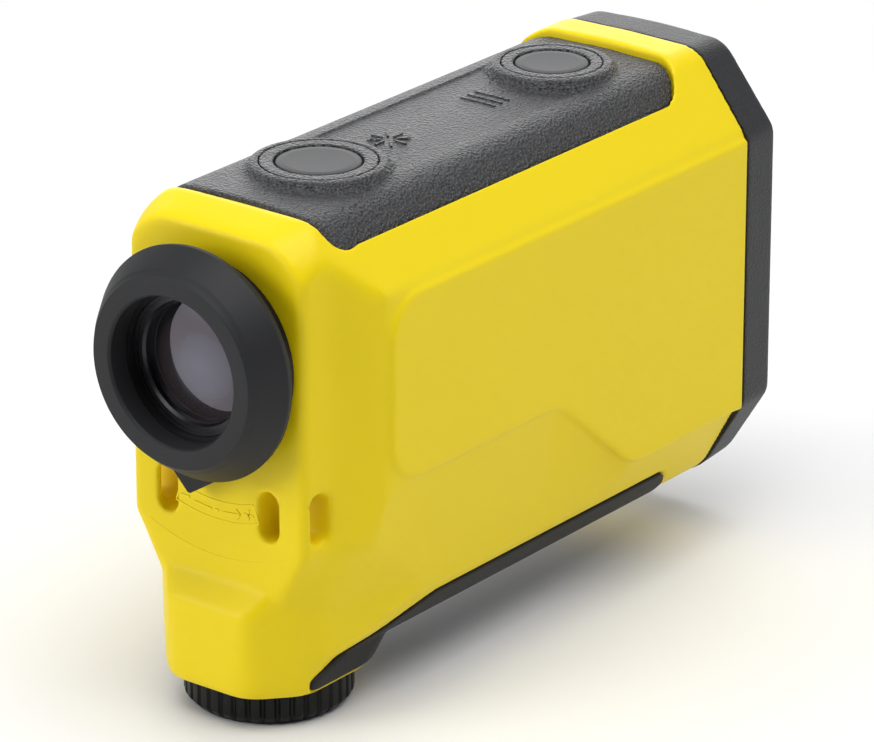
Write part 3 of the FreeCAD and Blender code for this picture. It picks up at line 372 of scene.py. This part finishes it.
EYE_GLASS = eyepiece_glass()
FRONT_GLASS = coated_lens("front_glass", (0.50, 0.62, 0.60), transmission=0.85, coat=0.6)
CLEAR_GLASS = coated_lens("clear_glass", (0.92, 0.95, 0.95), transmission=0.95, coat=0.1)
DISPLAY_GLASS = matt_rubber("display_glass", (0.20, 0.235, 0.205), (0.225, 0.26, 0.23), (0.15, 0.25))
WINDOW = window_glass()
CIRCUIT = circuit_material()
CHIP = matt_rubber("chip_plastic", (0.012, 0.012, 0.012), (0.02, 0.02, 0.02))
FLEX = matt_rubber("flex_film", (0.35, 0.13, 0.02), (0.42, 0.17, 0.03), (0.25, 0.35))
CONTACT = metal("contact_metal", (0.66, 0.62, 0.52), low=0.2, high=0.4)
STEEL = metal("screw_steel", (0.30, 0.30, 0.31), low=0.25, high=0.45)
CELL = metal("cell_sleeve", (0.16, 0.17, 0.20), low=0.25, high=0.4)


# ---------------------------------------------------------------- mesh helpers

def show(name, mesh, made, body, nodes=(), sharp_angle=35.0):
    """Finish a piece: shading, material, the body it rides on and the nodes it stands for."""
    piece = bpy.data.objects.new(name, mesh)
    bpy.context.scene.collection.objects.link(piece)
    mesh.shade_smooth()
    mesh.set_sharp_from_angle(angle=math.radians(sharp_angle))
    mesh.materials.clear()
    mesh.materials.append(made)
    if nodes:
        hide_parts(*nodes)
    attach(piece, body)
    return piece


def mesh_of(name, points, faces):
    """A mesh from points in millimetres."""
    mesh = bpy.data.meshes.new(name)
    mesh.from_pydata([tuple(value * MM for value in point) for point in points], [], faces)
    mesh.update()
    return mesh


def softened(profile, closed=True, steps=5):
    """Round the corners of a profile: each corner is (radius, station, rounding)."""
    edge_share = 0.49
    points = [Vector((corner[0], corner[1])) for corner in profile]
    rounding = [corner[2] if len(corner) > 2 else 0.0 for corner in profile]
    result = []
    count = len(points)
    for index, point in enumerate(points):
        ends = not closed and index in (0, count - 1)
        if rounding[index] <= 0 or ends:
            result.append(tuple(point))
            continue
        before = points[index - 1] - point
        after = points[(index + 1) % count] - point
        half = before.angle(after) / 2
        reach = min(rounding[index] / math.tan(half), before.length * edge_share, after.length * edge_share)
        first = point + before.normalized() * reach
        last = point + after.normalized() * reach
        for step in range(steps + 1):
            part = step / steps
            bend = first.lerp(point, part).lerp(point.lerp(last, part), part)
            result.append(tuple(bend))
    return result


def axis_points(axis, centre, radius, station, angle):
    """A point of a turned piece: axis is "y" or "z"; centre gives the other two places."""
    if axis == "y":
        return (centre[0] + radius * math.sin(angle), station, centre[1] - radius * math.cos(angle))
    return (centre[0] + radius * math.cos(angle), centre[1] + radius * math.sin(angle), station)


def turned(name, profile, axis, centre, segments=144, shift=None):
    """A closed profile (radius, station) turned about an axis; shift may move each point's radius."""
    on_axis = 1e-6
    points = []
    rings = []
    for radius, station in profile:
        if radius < on_axis:
            rings.append([len(points)] * segments)
            points.append(axis_points(axis, centre, 0.0, station, 0.0))
            continue
        ring = []
        for number in range(segments):
            angle = 2 * math.pi * number / segments
            moved = radius + (shift(radius, station, angle) if shift else 0.0)
            ring.append(len(points))
            points.append(axis_points(axis, centre, moved, station, angle))
        rings.append(ring)
    faces = []
    for index, ring in enumerate(rings):
        following = rings[(index + 1) % len(rings)]
        for number in range(segments):
            other = (number + 1) % segments
            corners = [ring[number], ring[other], following[other], following[number]]
            unique = list(dict.fromkeys(corners))
            if len(unique) >= 3:
                faces.append(unique)
    mesh = mesh_of(name, points, faces)
    clean(mesh)
    return mesh


def clean(mesh):
    """Join double points and turn every face outwards."""
    same_place_mm = 0.002
    work = bmesh.new()
    work.from_mesh(mesh)
    bmesh.ops.remove_doubles(work, verts=work.verts, dist=same_place_mm * MM)
    bmesh.ops.recalc_face_normals(work, faces=work.faces)
    work.to_mesh(mesh)
    work.free()


def changed(mesh, kind, **settings):
    """The mesh that a modifier makes of another one."""
    work = bpy.data.objects.new("work", mesh)
    bpy.context.scene.collection.objects.link(work)
    change = work.modifiers.new("change", kind)
    for key, value in settings.items():
        setattr(change, key, value)
    bpy.context.view_layer.update()
    result = bpy.data.meshes.new_from_object(work.evaluated_get(bpy.context.evaluated_depsgraph_get()))
    bpy.data.objects.remove(work)
    return result


def remeshed(node_name, voxel_mm):
    """A fine even mesh of a CAD node's solid."""
    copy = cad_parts[node_name].data.copy()
    return changed(copy, "REMESH", mode="VOXEL", voxel_size=voxel_mm * MM, adaptivity=0.0)


def cut_from(mesh, tool):
    """A mesh with the solid of another mesh cut out of it."""
    cutter = bpy.data.objects.new("cutter", tool)
    bpy.context.scene.collection.objects.link(cutter)
    result = changed(mesh, "BOOLEAN", operation="DIFFERENCE", object=cutter)
    bpy.data.objects.remove(cutter)
    return result


def box_points(x, y, z):
    """Points and faces of a box."""
    points = [(a, b, c) for a in x for b in y for c in z]
    faces = [(0, 1, 3, 2), (4, 6, 7, 5), (0, 4, 5, 1), (2, 3, 7, 6), (0, 2, 6, 4), (1, 5, 7, 3)]
    return points, faces


def positions(mesh):
    """The mesh's points in millimetres."""
    flat = np.zeros(len(mesh.vertices) * 3)
    mesh.vertices.foreach_get("co", flat)
    return flat.reshape(-1, 3) / MM


def relax(mesh, rounds, weight):
    """Even out a mesh: each round moves a point part of the way to its neighbours' average."""
    stride = 0.5
    place = positions(mesh)
    ends = np.zeros(len(mesh.edges) * 2, dtype=np.int64)
    mesh.edges.foreach_get("vertices", ends)
    first, second = ends[0::2], ends[1::2]
    count = np.bincount(first, minlength=len(place)) + np.bincount(second, minlength=len(place))
    pull = (stride * weight(place))[:, None]
    for _ in range(rounds):
        total = np.zeros_like(place)
        for column in range(3):
            total[:, column] = (np.bincount(first, place[second, column], len(place))
                                + np.bincount(second, place[first, column], len(place)))
        place += pull * (total / count[:, None] - place)
    mesh.vertices.foreach_set("co", (place * MM).ravel())
    mesh.update()


def lighten(mesh, share):
    """Fewer triangles where the surface is calm: the share that is left."""
    return changed(mesh, "DECIMATE", ratio=share)


def rises(value, edge):
    """0 before an edge, given as where it starts and ends, 1 after it, smooth between."""
    start, end = edge
    part = np.clip((value - start) / (end - start), 0.0, 1.0)
    return part * part * (3 - 2 * part)


def falls(value, edge):
    """1 before an edge, 0 after it."""
    return 1.0 - rises(value, edge)


# ---------------------------------------------------------------- casing

def casing_softness(place):
    """How much each point of the casing may relax: 0 stays put, 1 goes with its neighbours."""
    side, along, height = np.abs(place[:, X]), place[:, Y], place[:, Z]
    general_soft, plate_soft, neck_soft, waist_soft = 0.10, 0.22, 0.8, 0.30
    plate_end, neck_end, waist_end = (-44.0, -42.5), (-36.5, -34.5), (-36.0, -28.0)
    boss_top, waist_foot, waist_top = (20.0, 24.0), (8.0, 10.0), (24.0, 30.0)
    slot_foot, slot_top, slot_side, slot_end = (26.0, 27.5), (37.5, 39.0), (5.5, 6.5), (-40.0, -38.0)
    slot_keep, bore_keep, bore_reach, bore_end = 0.8, 0.3, 13.2, -40.0
    seam, foot = (SEAM_Y - 2.0, SEAM_Y - 0.7), (5.3, 5.9)

    softness = np.full(len(place), general_soft)
    neck = rises(along, plate_end) * falls(along, neck_end) * rises(height, boss_top)
    softness = np.maximum(softness, neck_soft * neck)
    softness = np.maximum(softness, plate_soft * falls(along, plate_end))
    waist = falls(along, waist_end) * falls(height, waist_top) * rises(height, waist_foot)
    softness = np.maximum(softness, waist_soft * waist)
    slots = falls(along, slot_end) * rises(height, slot_foot) * falls(height, slot_top)
    softness *= 1.0 - slot_keep * slots * rises(side, slot_side)
    bore = (np.hypot(side, height - EYE_Z) < bore_reach) & (along < bore_end)
    softness *= np.where(bore, bore_keep, 1.0)
    return softness * falls(along, seam) * rises(height, foot)


def bezel_softness(place):
    """The bezel may relax anywhere but at its seam."""
    return rises(place[:, Y], (SEAM_Y + 0.5, SEAM_Y + 1.2))


def cover_softness(place):
    """The top panel relaxes freely, but hardly at its button holes."""
    hole_soft, hole_edge = 0.15, (0.3, 0.9)
    from_measure = np.hypot(place[:, X], place[:, Y] - MEASURE_Y) - MEASURE_RING
    from_mode = np.hypot(place[:, X], place[:, Y] - MODE_Y) - MODE_RING
    reach = np.minimum(from_measure, from_mode)
    return hole_soft + (1.0 - hole_soft) * rises(reach, hole_edge)


def strip_softness(place):
    """The soft strip relaxes alike all over."""
    return np.full(len(place), 0.6)


def evened(node_name, voxel_mm, rounds, softness):
    """A fine even mesh of a CAD node, with its corners rounded by relaxing."""
    mesh = remeshed(node_name, voxel_mm)
    relax(mesh, rounds, softness)
    return mesh


def main_housing():
    """The casing, with its moulded corners rounded; returns its surface for the scale on it."""
    mesh = lighten(evened("main_housing", voxel_mm=0.36, rounds=60, softness=casing_softness), share=0.45)
    piece = show("casing", mesh, YELLOW, "root", ["main_housing"], sharp_angle=60.0)
    return surface_of(piece)


def front_bezel():
    """The dark bezel round the two front lenses."""
    mesh = lighten(evened("front_bezel", voxel_mm=0.36, rounds=6, softness=bezel_softness), share=0.5)
    show("bezel", mesh, BEZEL_GRAIN, "root", ["front_bezel"], sharp_angle=50.0)


def sink_centre(mesh):
    """Lower the panel's centre strip between the two mounds, which leaves a crease on each side."""
    half_width = 0.15
    crease = (CREASE_X - half_width, CREASE_X + half_width)
    measure_clear, mode_clear, mound_edge, roof_z = 10.0, 9.0, (0.0, 0.8), 72.0
    place = positions(mesh)
    side, along, height = np.abs(place[:, X]), place[:, Y], place[:, Z]
    from_measure = np.hypot(side, along - MEASURE_Y) - measure_clear
    from_mode = np.hypot(side, along - MODE_Y) - mode_clear
    strip = falls(side, crease) * rises(np.minimum(from_measure, from_mode), mound_edge)
    strip *= (along > MEASURE_Y) & (along < MODE_Y) & (height > roof_z)
    place[:, Z] -= CREASE_DEPTH * strip
    mesh.vertices.foreach_set("co", (place * MM).ravel())
    mesh.update()


def top_panel():
    """The leather-grained cover; returns its surface for the marks on it."""
    mesh = evened("top_panel", voxel_mm=0.24, rounds=24, softness=cover_softness)
    sink_centre(mesh)
    mesh = lighten(mesh, share=0.45)
    piece = show("top_cover", mesh, TOP_GRAIN, "root", ["top_panel"], sharp_angle=60.0)
    return surface_of(piece)


def bottom_strip():
    """The soft strip under the body, with the lug that wraps the battery boss."""
    mesh = lighten(evened("bottom_strip", voxel_mm=0.3, rounds=6, softness=strip_softness), share=0.5)
    show("grip_strip", mesh, STRIP_RUBBER, "root", ["bottom_strip"], sharp_angle=60.0)


# ---------------------------------------------------------------- buttons

def button(name, station, radius, ring_radius):
    """One push button: a crowned satin cap in a grained ring."""
    top, skirt, stem = BUTTON_TOP_Z, BUTTON_TOP_Z - 2.4, 2.0
    cap = softened([(0.0, BUTTON_FOOT_Z), (stem, BUTTON_FOOT_Z, 0.2), (stem, skirt), (radius, skirt, 0.2),
                    (radius, top - 0.18, 0.45), (radius - 1.2, top - 0.1, 0.5), (0.0, top - 0.22)],
                   closed=False)
    show(name + "_cap", turned(name, cap, "z", (0.0, station)), BUTTON_SATIN,
         name + "_button", [name + "_button"])
    bore, rim, face = radius + 0.15, ring_radius - 0.02, top - 0.02
    ring = softened([(bore, MOUND_FOOT_Z), (rim, MOUND_FOOT_Z), (rim, face, 0.3), (bore, face, 0.4)])
    show(name + "_ring", turned(name + "_ring", ring, "z", (0.0, station)), TOP_GRAIN,
         "root", [name + "_button_ring"])


# ---------------------------------------------------------------- eyepiece

def eyecup():
    """The flared rubber cup: a flat face, a soft crease and a sloping flank."""
    bore, seat, crease, rim = 10.56, 12.42, 13.35, CUP_RADIUS - 0.05
    face, back = CUP_FACE_Y + 0.02, CUP_END_Y - 0.05
    profile = softened([
        (bore, RING_END_Y), (bore, face + 0.38, 0.3), (bore + 0.34, face, 0.3),
        (crease, face + 0.01, 0.2), (crease + 0.4, face + 0.58, 0.3), (crease + 0.85, face + 1.08, 0.6),
        (rim, back - 1.55, 0.5), (rim - 0.25, back - 0.5, 0.4), (crease + 0.6, back, 0.3),
        (seat, back), (seat, RING_END_Y)])
    show("eyecup_rubber", turned("eyecup", profile, "y", (0.0, EYE_Z), 192), CUP_RUBBER,
         "diopter_ring", ["eyecup"])


def eye_lens():
    """The eye lens: bulging on both sides, with a straight edge."""
    edge = LENS_RADIUS - 0.02
    lens = softened([
        (0.0, -50.05), (3.2, -49.95), (6.2, -49.62), (8.4, -49.14), (edge, -48.9),
        (edge, -46.0), (8.6, -46.0), (4.6, -45.2), (0.0, -44.9)], closed=False)
    show("eye_lens_glass", turned("eye_lens", lens, "y", (0.0, EYE_Z), 128), EYE_GLASS,
         "eyepiece_cell", ["eye_lens"], sharp_angle=50.0)


# ---------------------------------------------------------------- battery cap

RIBS = 36


def rib_shift(radius, station, angle):
    """How far the cap's skin moves in at a place: the grooves between its rounded ribs."""
    groove_depth, inner, grip_top = 0.42, 11.0, 4.9
    crest, fade_width, roundness = 0.35, 0.6, 0.8
    if radius < inner or station > grip_top:
        return 0.0
    groove = max(0.0, -math.cos(RIBS * angle) - crest) / (1.0 - crest)
    fade = min(1.0, max(0.0, (radius - inner) / fade_width))
    return -groove_depth * fade * groove ** roundness


def battery_cap():
    """The ribbed cap with a rounded foot, a coin slot and a hollow spigot."""
    grip, foot, grip_top = 11.73, 9.2, 4.98
    spigot, hollow, floor = 10.2, 8.6, 2.2
    profile = softened([
        (0.0, 0.0), (foot, 0.0), (foot + 1.3, 0.0, 0.6), (grip, 1.3, 0.6), (grip, 2.4), (grip, 3.8),
        (grip, grip_top, 0.15), (spigot, grip_top), (spigot, CAP_TOP_Z, 0.2), (hollow, CAP_TOP_Z),
        (hollow, floor), (0.0, floor)], closed=False)
    steps_per_rib = 14
    mesh = turned("battery_cap", profile, "z", (0.0, CAP_Y), RIBS * steps_per_rib, rib_shift)
    slot_length, slot_width, slot_depth = 16.0, 2.2, 1.2
    across = (-slot_length / 2, slot_length / 2)
    along = (CAP_Y - slot_width / 2, CAP_Y + slot_width / 2)
    mesh = cut_from(mesh, mesh_of("slot_cutter", *box_points(across, along, (-1, slot_depth))))
    show("battery_cap_ribbed", mesh, KNOB_PLASTIC, "battery_cap", ["battery_cap"],
         sharp_angle=40.0)


# ---------------------------------------------------------------- fine marks

def surface_of(piece):
    """A piece's faces, ready to be hit by a ray."""
    corners = [vertex.co.copy() for vertex in piece.data.vertices]
    return BVHTree.FromPolygons(corners, [tuple(face.vertices) for face in piece.data.polygons])


def laid_on(surface, line, inwards):
    """The points where a line meets the surface when it is pushed inwards, in millimetres."""
    direction = Vector(inwards)
    stand_off = 20.0
    result = []
    for point in line:
        start = (Vector(point) - direction * stand_off) * MM
        hit = surface.ray_cast(start, direction)[0]
        result.append(tuple(hit / MM) if hit else tuple(point))
    return result


def ribbon(name, line, width, height, made, normal):
    """A thin raised mark that follows a line of points on a surface."""
    points, faces = [], []
    normal = Vector(normal)
    root_depth, taper = 0.12, 0.6
    count = len(line)
    for index, point in enumerate(line):
        here = Vector(point)
        ahead = Vector(line[min(index + 1, count - 1)]) - Vector(line[max(index - 1, 0)])
        across = ahead.normalized().cross(normal).normalized() * (width / 2)
        points += [here - across - normal * root_depth, here - across * taper + normal * height,
                   here + across * taper + normal * height, here + across - normal * root_depth]
    for index in range(count - 1):
        low, high = 4 * index, 4 * index + 4
        for side in range(4):
            following = (side + 1) % 4
            faces.append((low + side, low + following, high + following, high + side))
    faces.append((0, 1, 2, 3))
    last = 4 * (count - 1)
    faces.append((last + 3, last + 2, last + 1, last))
    mesh = mesh_of(name, [tuple(point) for point in points], faces)
    clean(mesh)
    return show(name, mesh, made, "root")


def straight(first, last, steps=6):
    """Evenly spaced points from one place to another."""
    return [tuple(Vector(first).lerp(Vector(last), step / steps)) for step in range(steps + 1)]


def arc_line(radius, first, last, steps=40):
    """An arc on the rear plate about the viewing axis, in degrees from straight down."""
    line = []
    for step in range(steps + 1):
        angle = math.radians(first + (last - first) * step / steps)
        line.append((radius * math.sin(angle), PLATE_Y, EYE_Z - radius * math.cos(angle)))
    return line


def scale_point(radius, degrees):
    """One point of such an arc."""
    return arc_line(radius, degrees, degrees, 1)[0]


def leveled(line):
    """A line on the flat rear plate, all at the plate's own level."""
    level = sorted(point[1] for point in line)[len(line) // 2]
    return [(point[0], level, point[2]) for point in line]


def across_plate(point, arm):
    """A level stroke on the rear plate, through a point."""
    return straight((point[0] - arm, PLATE_Y, point[2]), (point[0] + arm, PLATE_Y, point[2]))


def up_plate(point, arm):
    """An upright stroke on the rear plate, through a point."""
    return straight((point[0], PLATE_Y, point[2] - arm), (point[0], PLATE_Y, point[2] + arm))


def diopter_scale(surface):
    """The dioptre scale on the rear plate: a curved band with minus, an index dot, an arrow and plus."""
    inner, outer, end = 21.2, 23.9, 17.5
    track = (inner + outer) / 2
    sign_at, tip_at, barb_at, line_start, dot_half = 14.2, 10.4, 8.6, 2.4, 0.8
    shaft_end, arm, barb = tip_at - 0.2, 0.75, 0.7
    edge_width, line_width, bold_width = 0.34, 0.30, 0.5
    low, raised, faint = 0.07, 0.11, 0.05
    step_radius, step_end = 29.3, 24.0

    marks = [(arc_line(radius, -end, end), edge_width, low) for radius in (inner, outer)]
    for side in (-1, 1):
        close = straight(scale_point(inner, side * end), scale_point(outer, side * end))
        marks.append((close, edge_width, low))
        marks.append((across_plate(scale_point(track, side * sign_at), arm), bold_width, raised))
    marks.append((up_plate(scale_point(track, sign_at), arm), bold_width, raised))
    tip = scale_point(track, tip_at)
    marks.append((arc_line(track, line_start, shaft_end, 12), line_width, raised))
    for side in (1, -1):
        marks.append((straight(scale_point(track + side * barb, barb_at), tip), line_width, raised))
    marks.append((arc_line(track, -shaft_end, -line_start, 12), line_width, raised))
    marks.append((arc_line(track, -dot_half, dot_half, 4), bold_width, raised))
    marks.append((arc_line(step_radius, -step_end, step_end), line_width, faint))
    for number, (line, width, height) in enumerate(marks):
        lying = leveled(laid_on(surface, line, (0, 1, 0)))
        ribbon("scale_mark_%d" % number, lying, width, height, YELLOW, (0, -1, 0))


def burst_mark(surface, station):
    """A starburst of short raised rays."""
    rays, inner, outer, width, height = 8, 1.1, 3.0, 0.4, 0.20
    centre = Vector((0.0, station, MOUND_FOOT_Z))
    for number in range(rays):
        angle = 2 * math.pi * number / rays
        toward = Vector((math.cos(angle), math.sin(angle), 0.0))
        ray = laid_on(surface, straight(centre + toward * inner, centre + toward * outer), (0, 0, -1))
        ribbon("burst_mark_%d" % number, ray, width, height, TOP_GRAIN, (0, 0, 1))


def bar_marks(surface, station):
    """Three raised bars across the panel."""
    bars, half_length, pitch, width, height = 3, 3.0, 1.6, 0.5, 0.16
    for number in range(bars):
        place = station + (number - (bars - 1) / 2) * pitch
        bar = straight((-half_length, place, MOUND_FOOT_Z), (half_length, place, MOUND_FOOT_Z))
        ribbon("bar_mark_%d" % number, laid_on(surface, bar, (0, 0, -1)), width, height, TOP_GRAIN,
               (0, 0, 1))


# ---------------------------------------------------------------- carried-over nodes

PAINT = {
    "front_gasket": SEAL_RUBBER, "eyepiece_seal": SEAL_RUBBER, "battery_cap_seal": SEAL_RUBBER,
    "objective_lens": FRONT_GLASS, "receiver_lens": FRONT_GLASS, "field_lens": CLEAR_GLASS,
    "prism_rear": CLEAR_GLASS, "prism_front": CLEAR_GLASS, "internal_display": CLEAR_GLASS,
    "objective_retaining_ring": BLACK_METAL, "receiver_retaining_ring": BLACK_METAL,
    "eye_lens_retaining_ring": BLACK_METAL, "lens_cell": BLACK_METAL,
    "eyepiece_barrel": BLACK_PLASTIC, "diopter_ring": BLACK_PLASTIC, "optical_chassis": BLACK_PLASTIC,
    "display_frame": BLACK_PLASTIC, "display_window": WINDOW, "display_panel": DISPLAY_GLASS,
    "main_board": CIRCUIT, "button_board": CIRCUIT, "board_components": CHIP, "receiver_detector": CHIP,
    "tactile_switches": STEEL, "button_flex": FLEX, "laser_diode": CONTACT,
    "battery_cell": CELL, "battery_top_contact": CONTACT, "battery_cap_contact": CONTACT,
    "chassis_screws": STEEL, "button_board_screws": STEEL, "main_board_screws": STEEL,
}


def paint_nodes():
    """Give each carried-over node its material."""
    for name, made in PAINT.items():
        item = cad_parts[name]
        item.data.materials.clear()
        item.data.materials.append(made)


# ---------------------------------------------------------------- studio, in metres

FLOOR_REACH = 6.0
VIEWER_SIDE = (0.70, -0.70, 0.10)
WALL_GLOW = 0.36
DARK_WALL_GLOW = 0.02

# Each light's name, place, the height it points at, width, height and power in watts.
LIGHTS = [
    ("overhead", (0.20, -0.10, 0.88), 0.04, 0.8, 0.8, 7.6),
    ("backdrop", (-0.75, 0.95, 0.42), 0.06, 1.1, 0.8, 7.0),
    ("right_front", (0.75, 0.65, 0.30), 0.04, 0.6, 0.6, 1.0),
    ("rear_left", (-0.50, -0.80, 0.38), 0.04, 0.5, 0.5, 4.0),
]


def area_light(name, place, aim_height, width, height, power):
    """A soft rectangular light that points at the instrument."""
    data = bpy.data.lights.new(name, "AREA")
    data.shape = "RECTANGLE"
    data.size = width
    data.size_y = height
    data.energy = power
    item = bpy.data.objects.new(name, data)
    bpy.context.scene.collection.objects.link(item)
    item.location = place
    item.rotation_euler = (Vector((0, 0, aim_height)) - Vector(place)).to_track_quat("-Z", "Y").to_euler()


def surroundings():
    """Pale walls all round, darker on the viewer's side of the room."""
    world = bpy.data.worlds.new("studio")
    world.use_nodes = True
    background = world.node_tree.nodes["Background"]
    background.inputs["Color"].default_value = (1.0, 1.0, 1.0, 1.0)
    toward = node(world, "ShaderNodeVectorMath", operation="DOT_PRODUCT")
    toward.inputs[1].default_value = VIEWER_SIDE
    wire(world, node(world, "ShaderNodeTexCoord").outputs["Generated"], toward.inputs[0])
    ramp = node(world, "ShaderNodeMapRange", interpolation_type="SMOOTHSTEP")
    set_inputs(ramp, {"From Min": 0.1, "From Max": 0.95, "To Min": WALL_GLOW, "To Max": DARK_WALL_GLOW})
    wire(world, toward.outputs["Value"], ramp.inputs["Value"])
    wire(world, ramp.outputs["Result"], background.inputs["Strength"])
    bpy.context.scene.world = world


def studio_floor():
    """A plain pale floor."""
    mesh = bpy.data.meshes.new("floor")
    ends = (-FLOOR_REACH, FLOOR_REACH)
    corners = [(x, y, 0) for y in ends for x in ends]
    mesh.from_pydata(corners, [], [(0, 1, 3, 2)])
    floor = bpy.data.objects.new("floor", mesh)
    bpy.context.scene.collection.objects.link(floor)
    paper = material("floor_paper", (0.84, 0.84, 0.84), 0.7, specular=0.1)
    vary_roughness(paper, noise(paper, 4.0), low=0.6, high=0.8)
    mesh.materials.append(paper)


def camera():
    """The viewing angle: behind the instrument, to its right, above it."""
    azimuth, elevation = math.radians(37.83), math.radians(21.79)
    target, distance = Vector((0.0, 0.0023, 0.03564)), 0.78639
    lens, sensor_width, nearest = 231.1, 36.0, 0.01
    level = math.cos(elevation)
    back = Vector((math.sin(azimuth) * level, -math.cos(azimuth) * level, math.sin(elevation)))
    data = bpy.data.cameras.new("camera")
    data.sensor_width = sensor_width
    data.lens = lens
    data.clip_start = nearest
    item = bpy.data.objects.new("camera", data)
    bpy.context.scene.collection.objects.link(item)
    item.location = target + back * distance
    item.rotation_euler = back.to_track_quat("Z", "Y").to_euler()
    bpy.context.scene.camera = item


# ---------------------------------------------------------------- the whole scene

bpy.context.scene.view_settings.view_transform = "Standard"
camera()
studio_floor()
surroundings()
for light in LIGHTS:
    area_light(*light)
casing_surface = main_housing()
front_bezel()
cover_surface = top_panel()
bottom_strip()
button("measure", MEASURE_Y, MEASURE_RADIUS, MEASURE_RING)
button("mode", MODE_Y, MODE_RADIUS, MODE_RING)
eyecup()
eye_lens()
battery_cap()
diopter_scale(casing_surface)
burst_mark(cover_surface, BURST_Y)
bar_marks(cover_surface, BARS_Y)
paint_nodes()
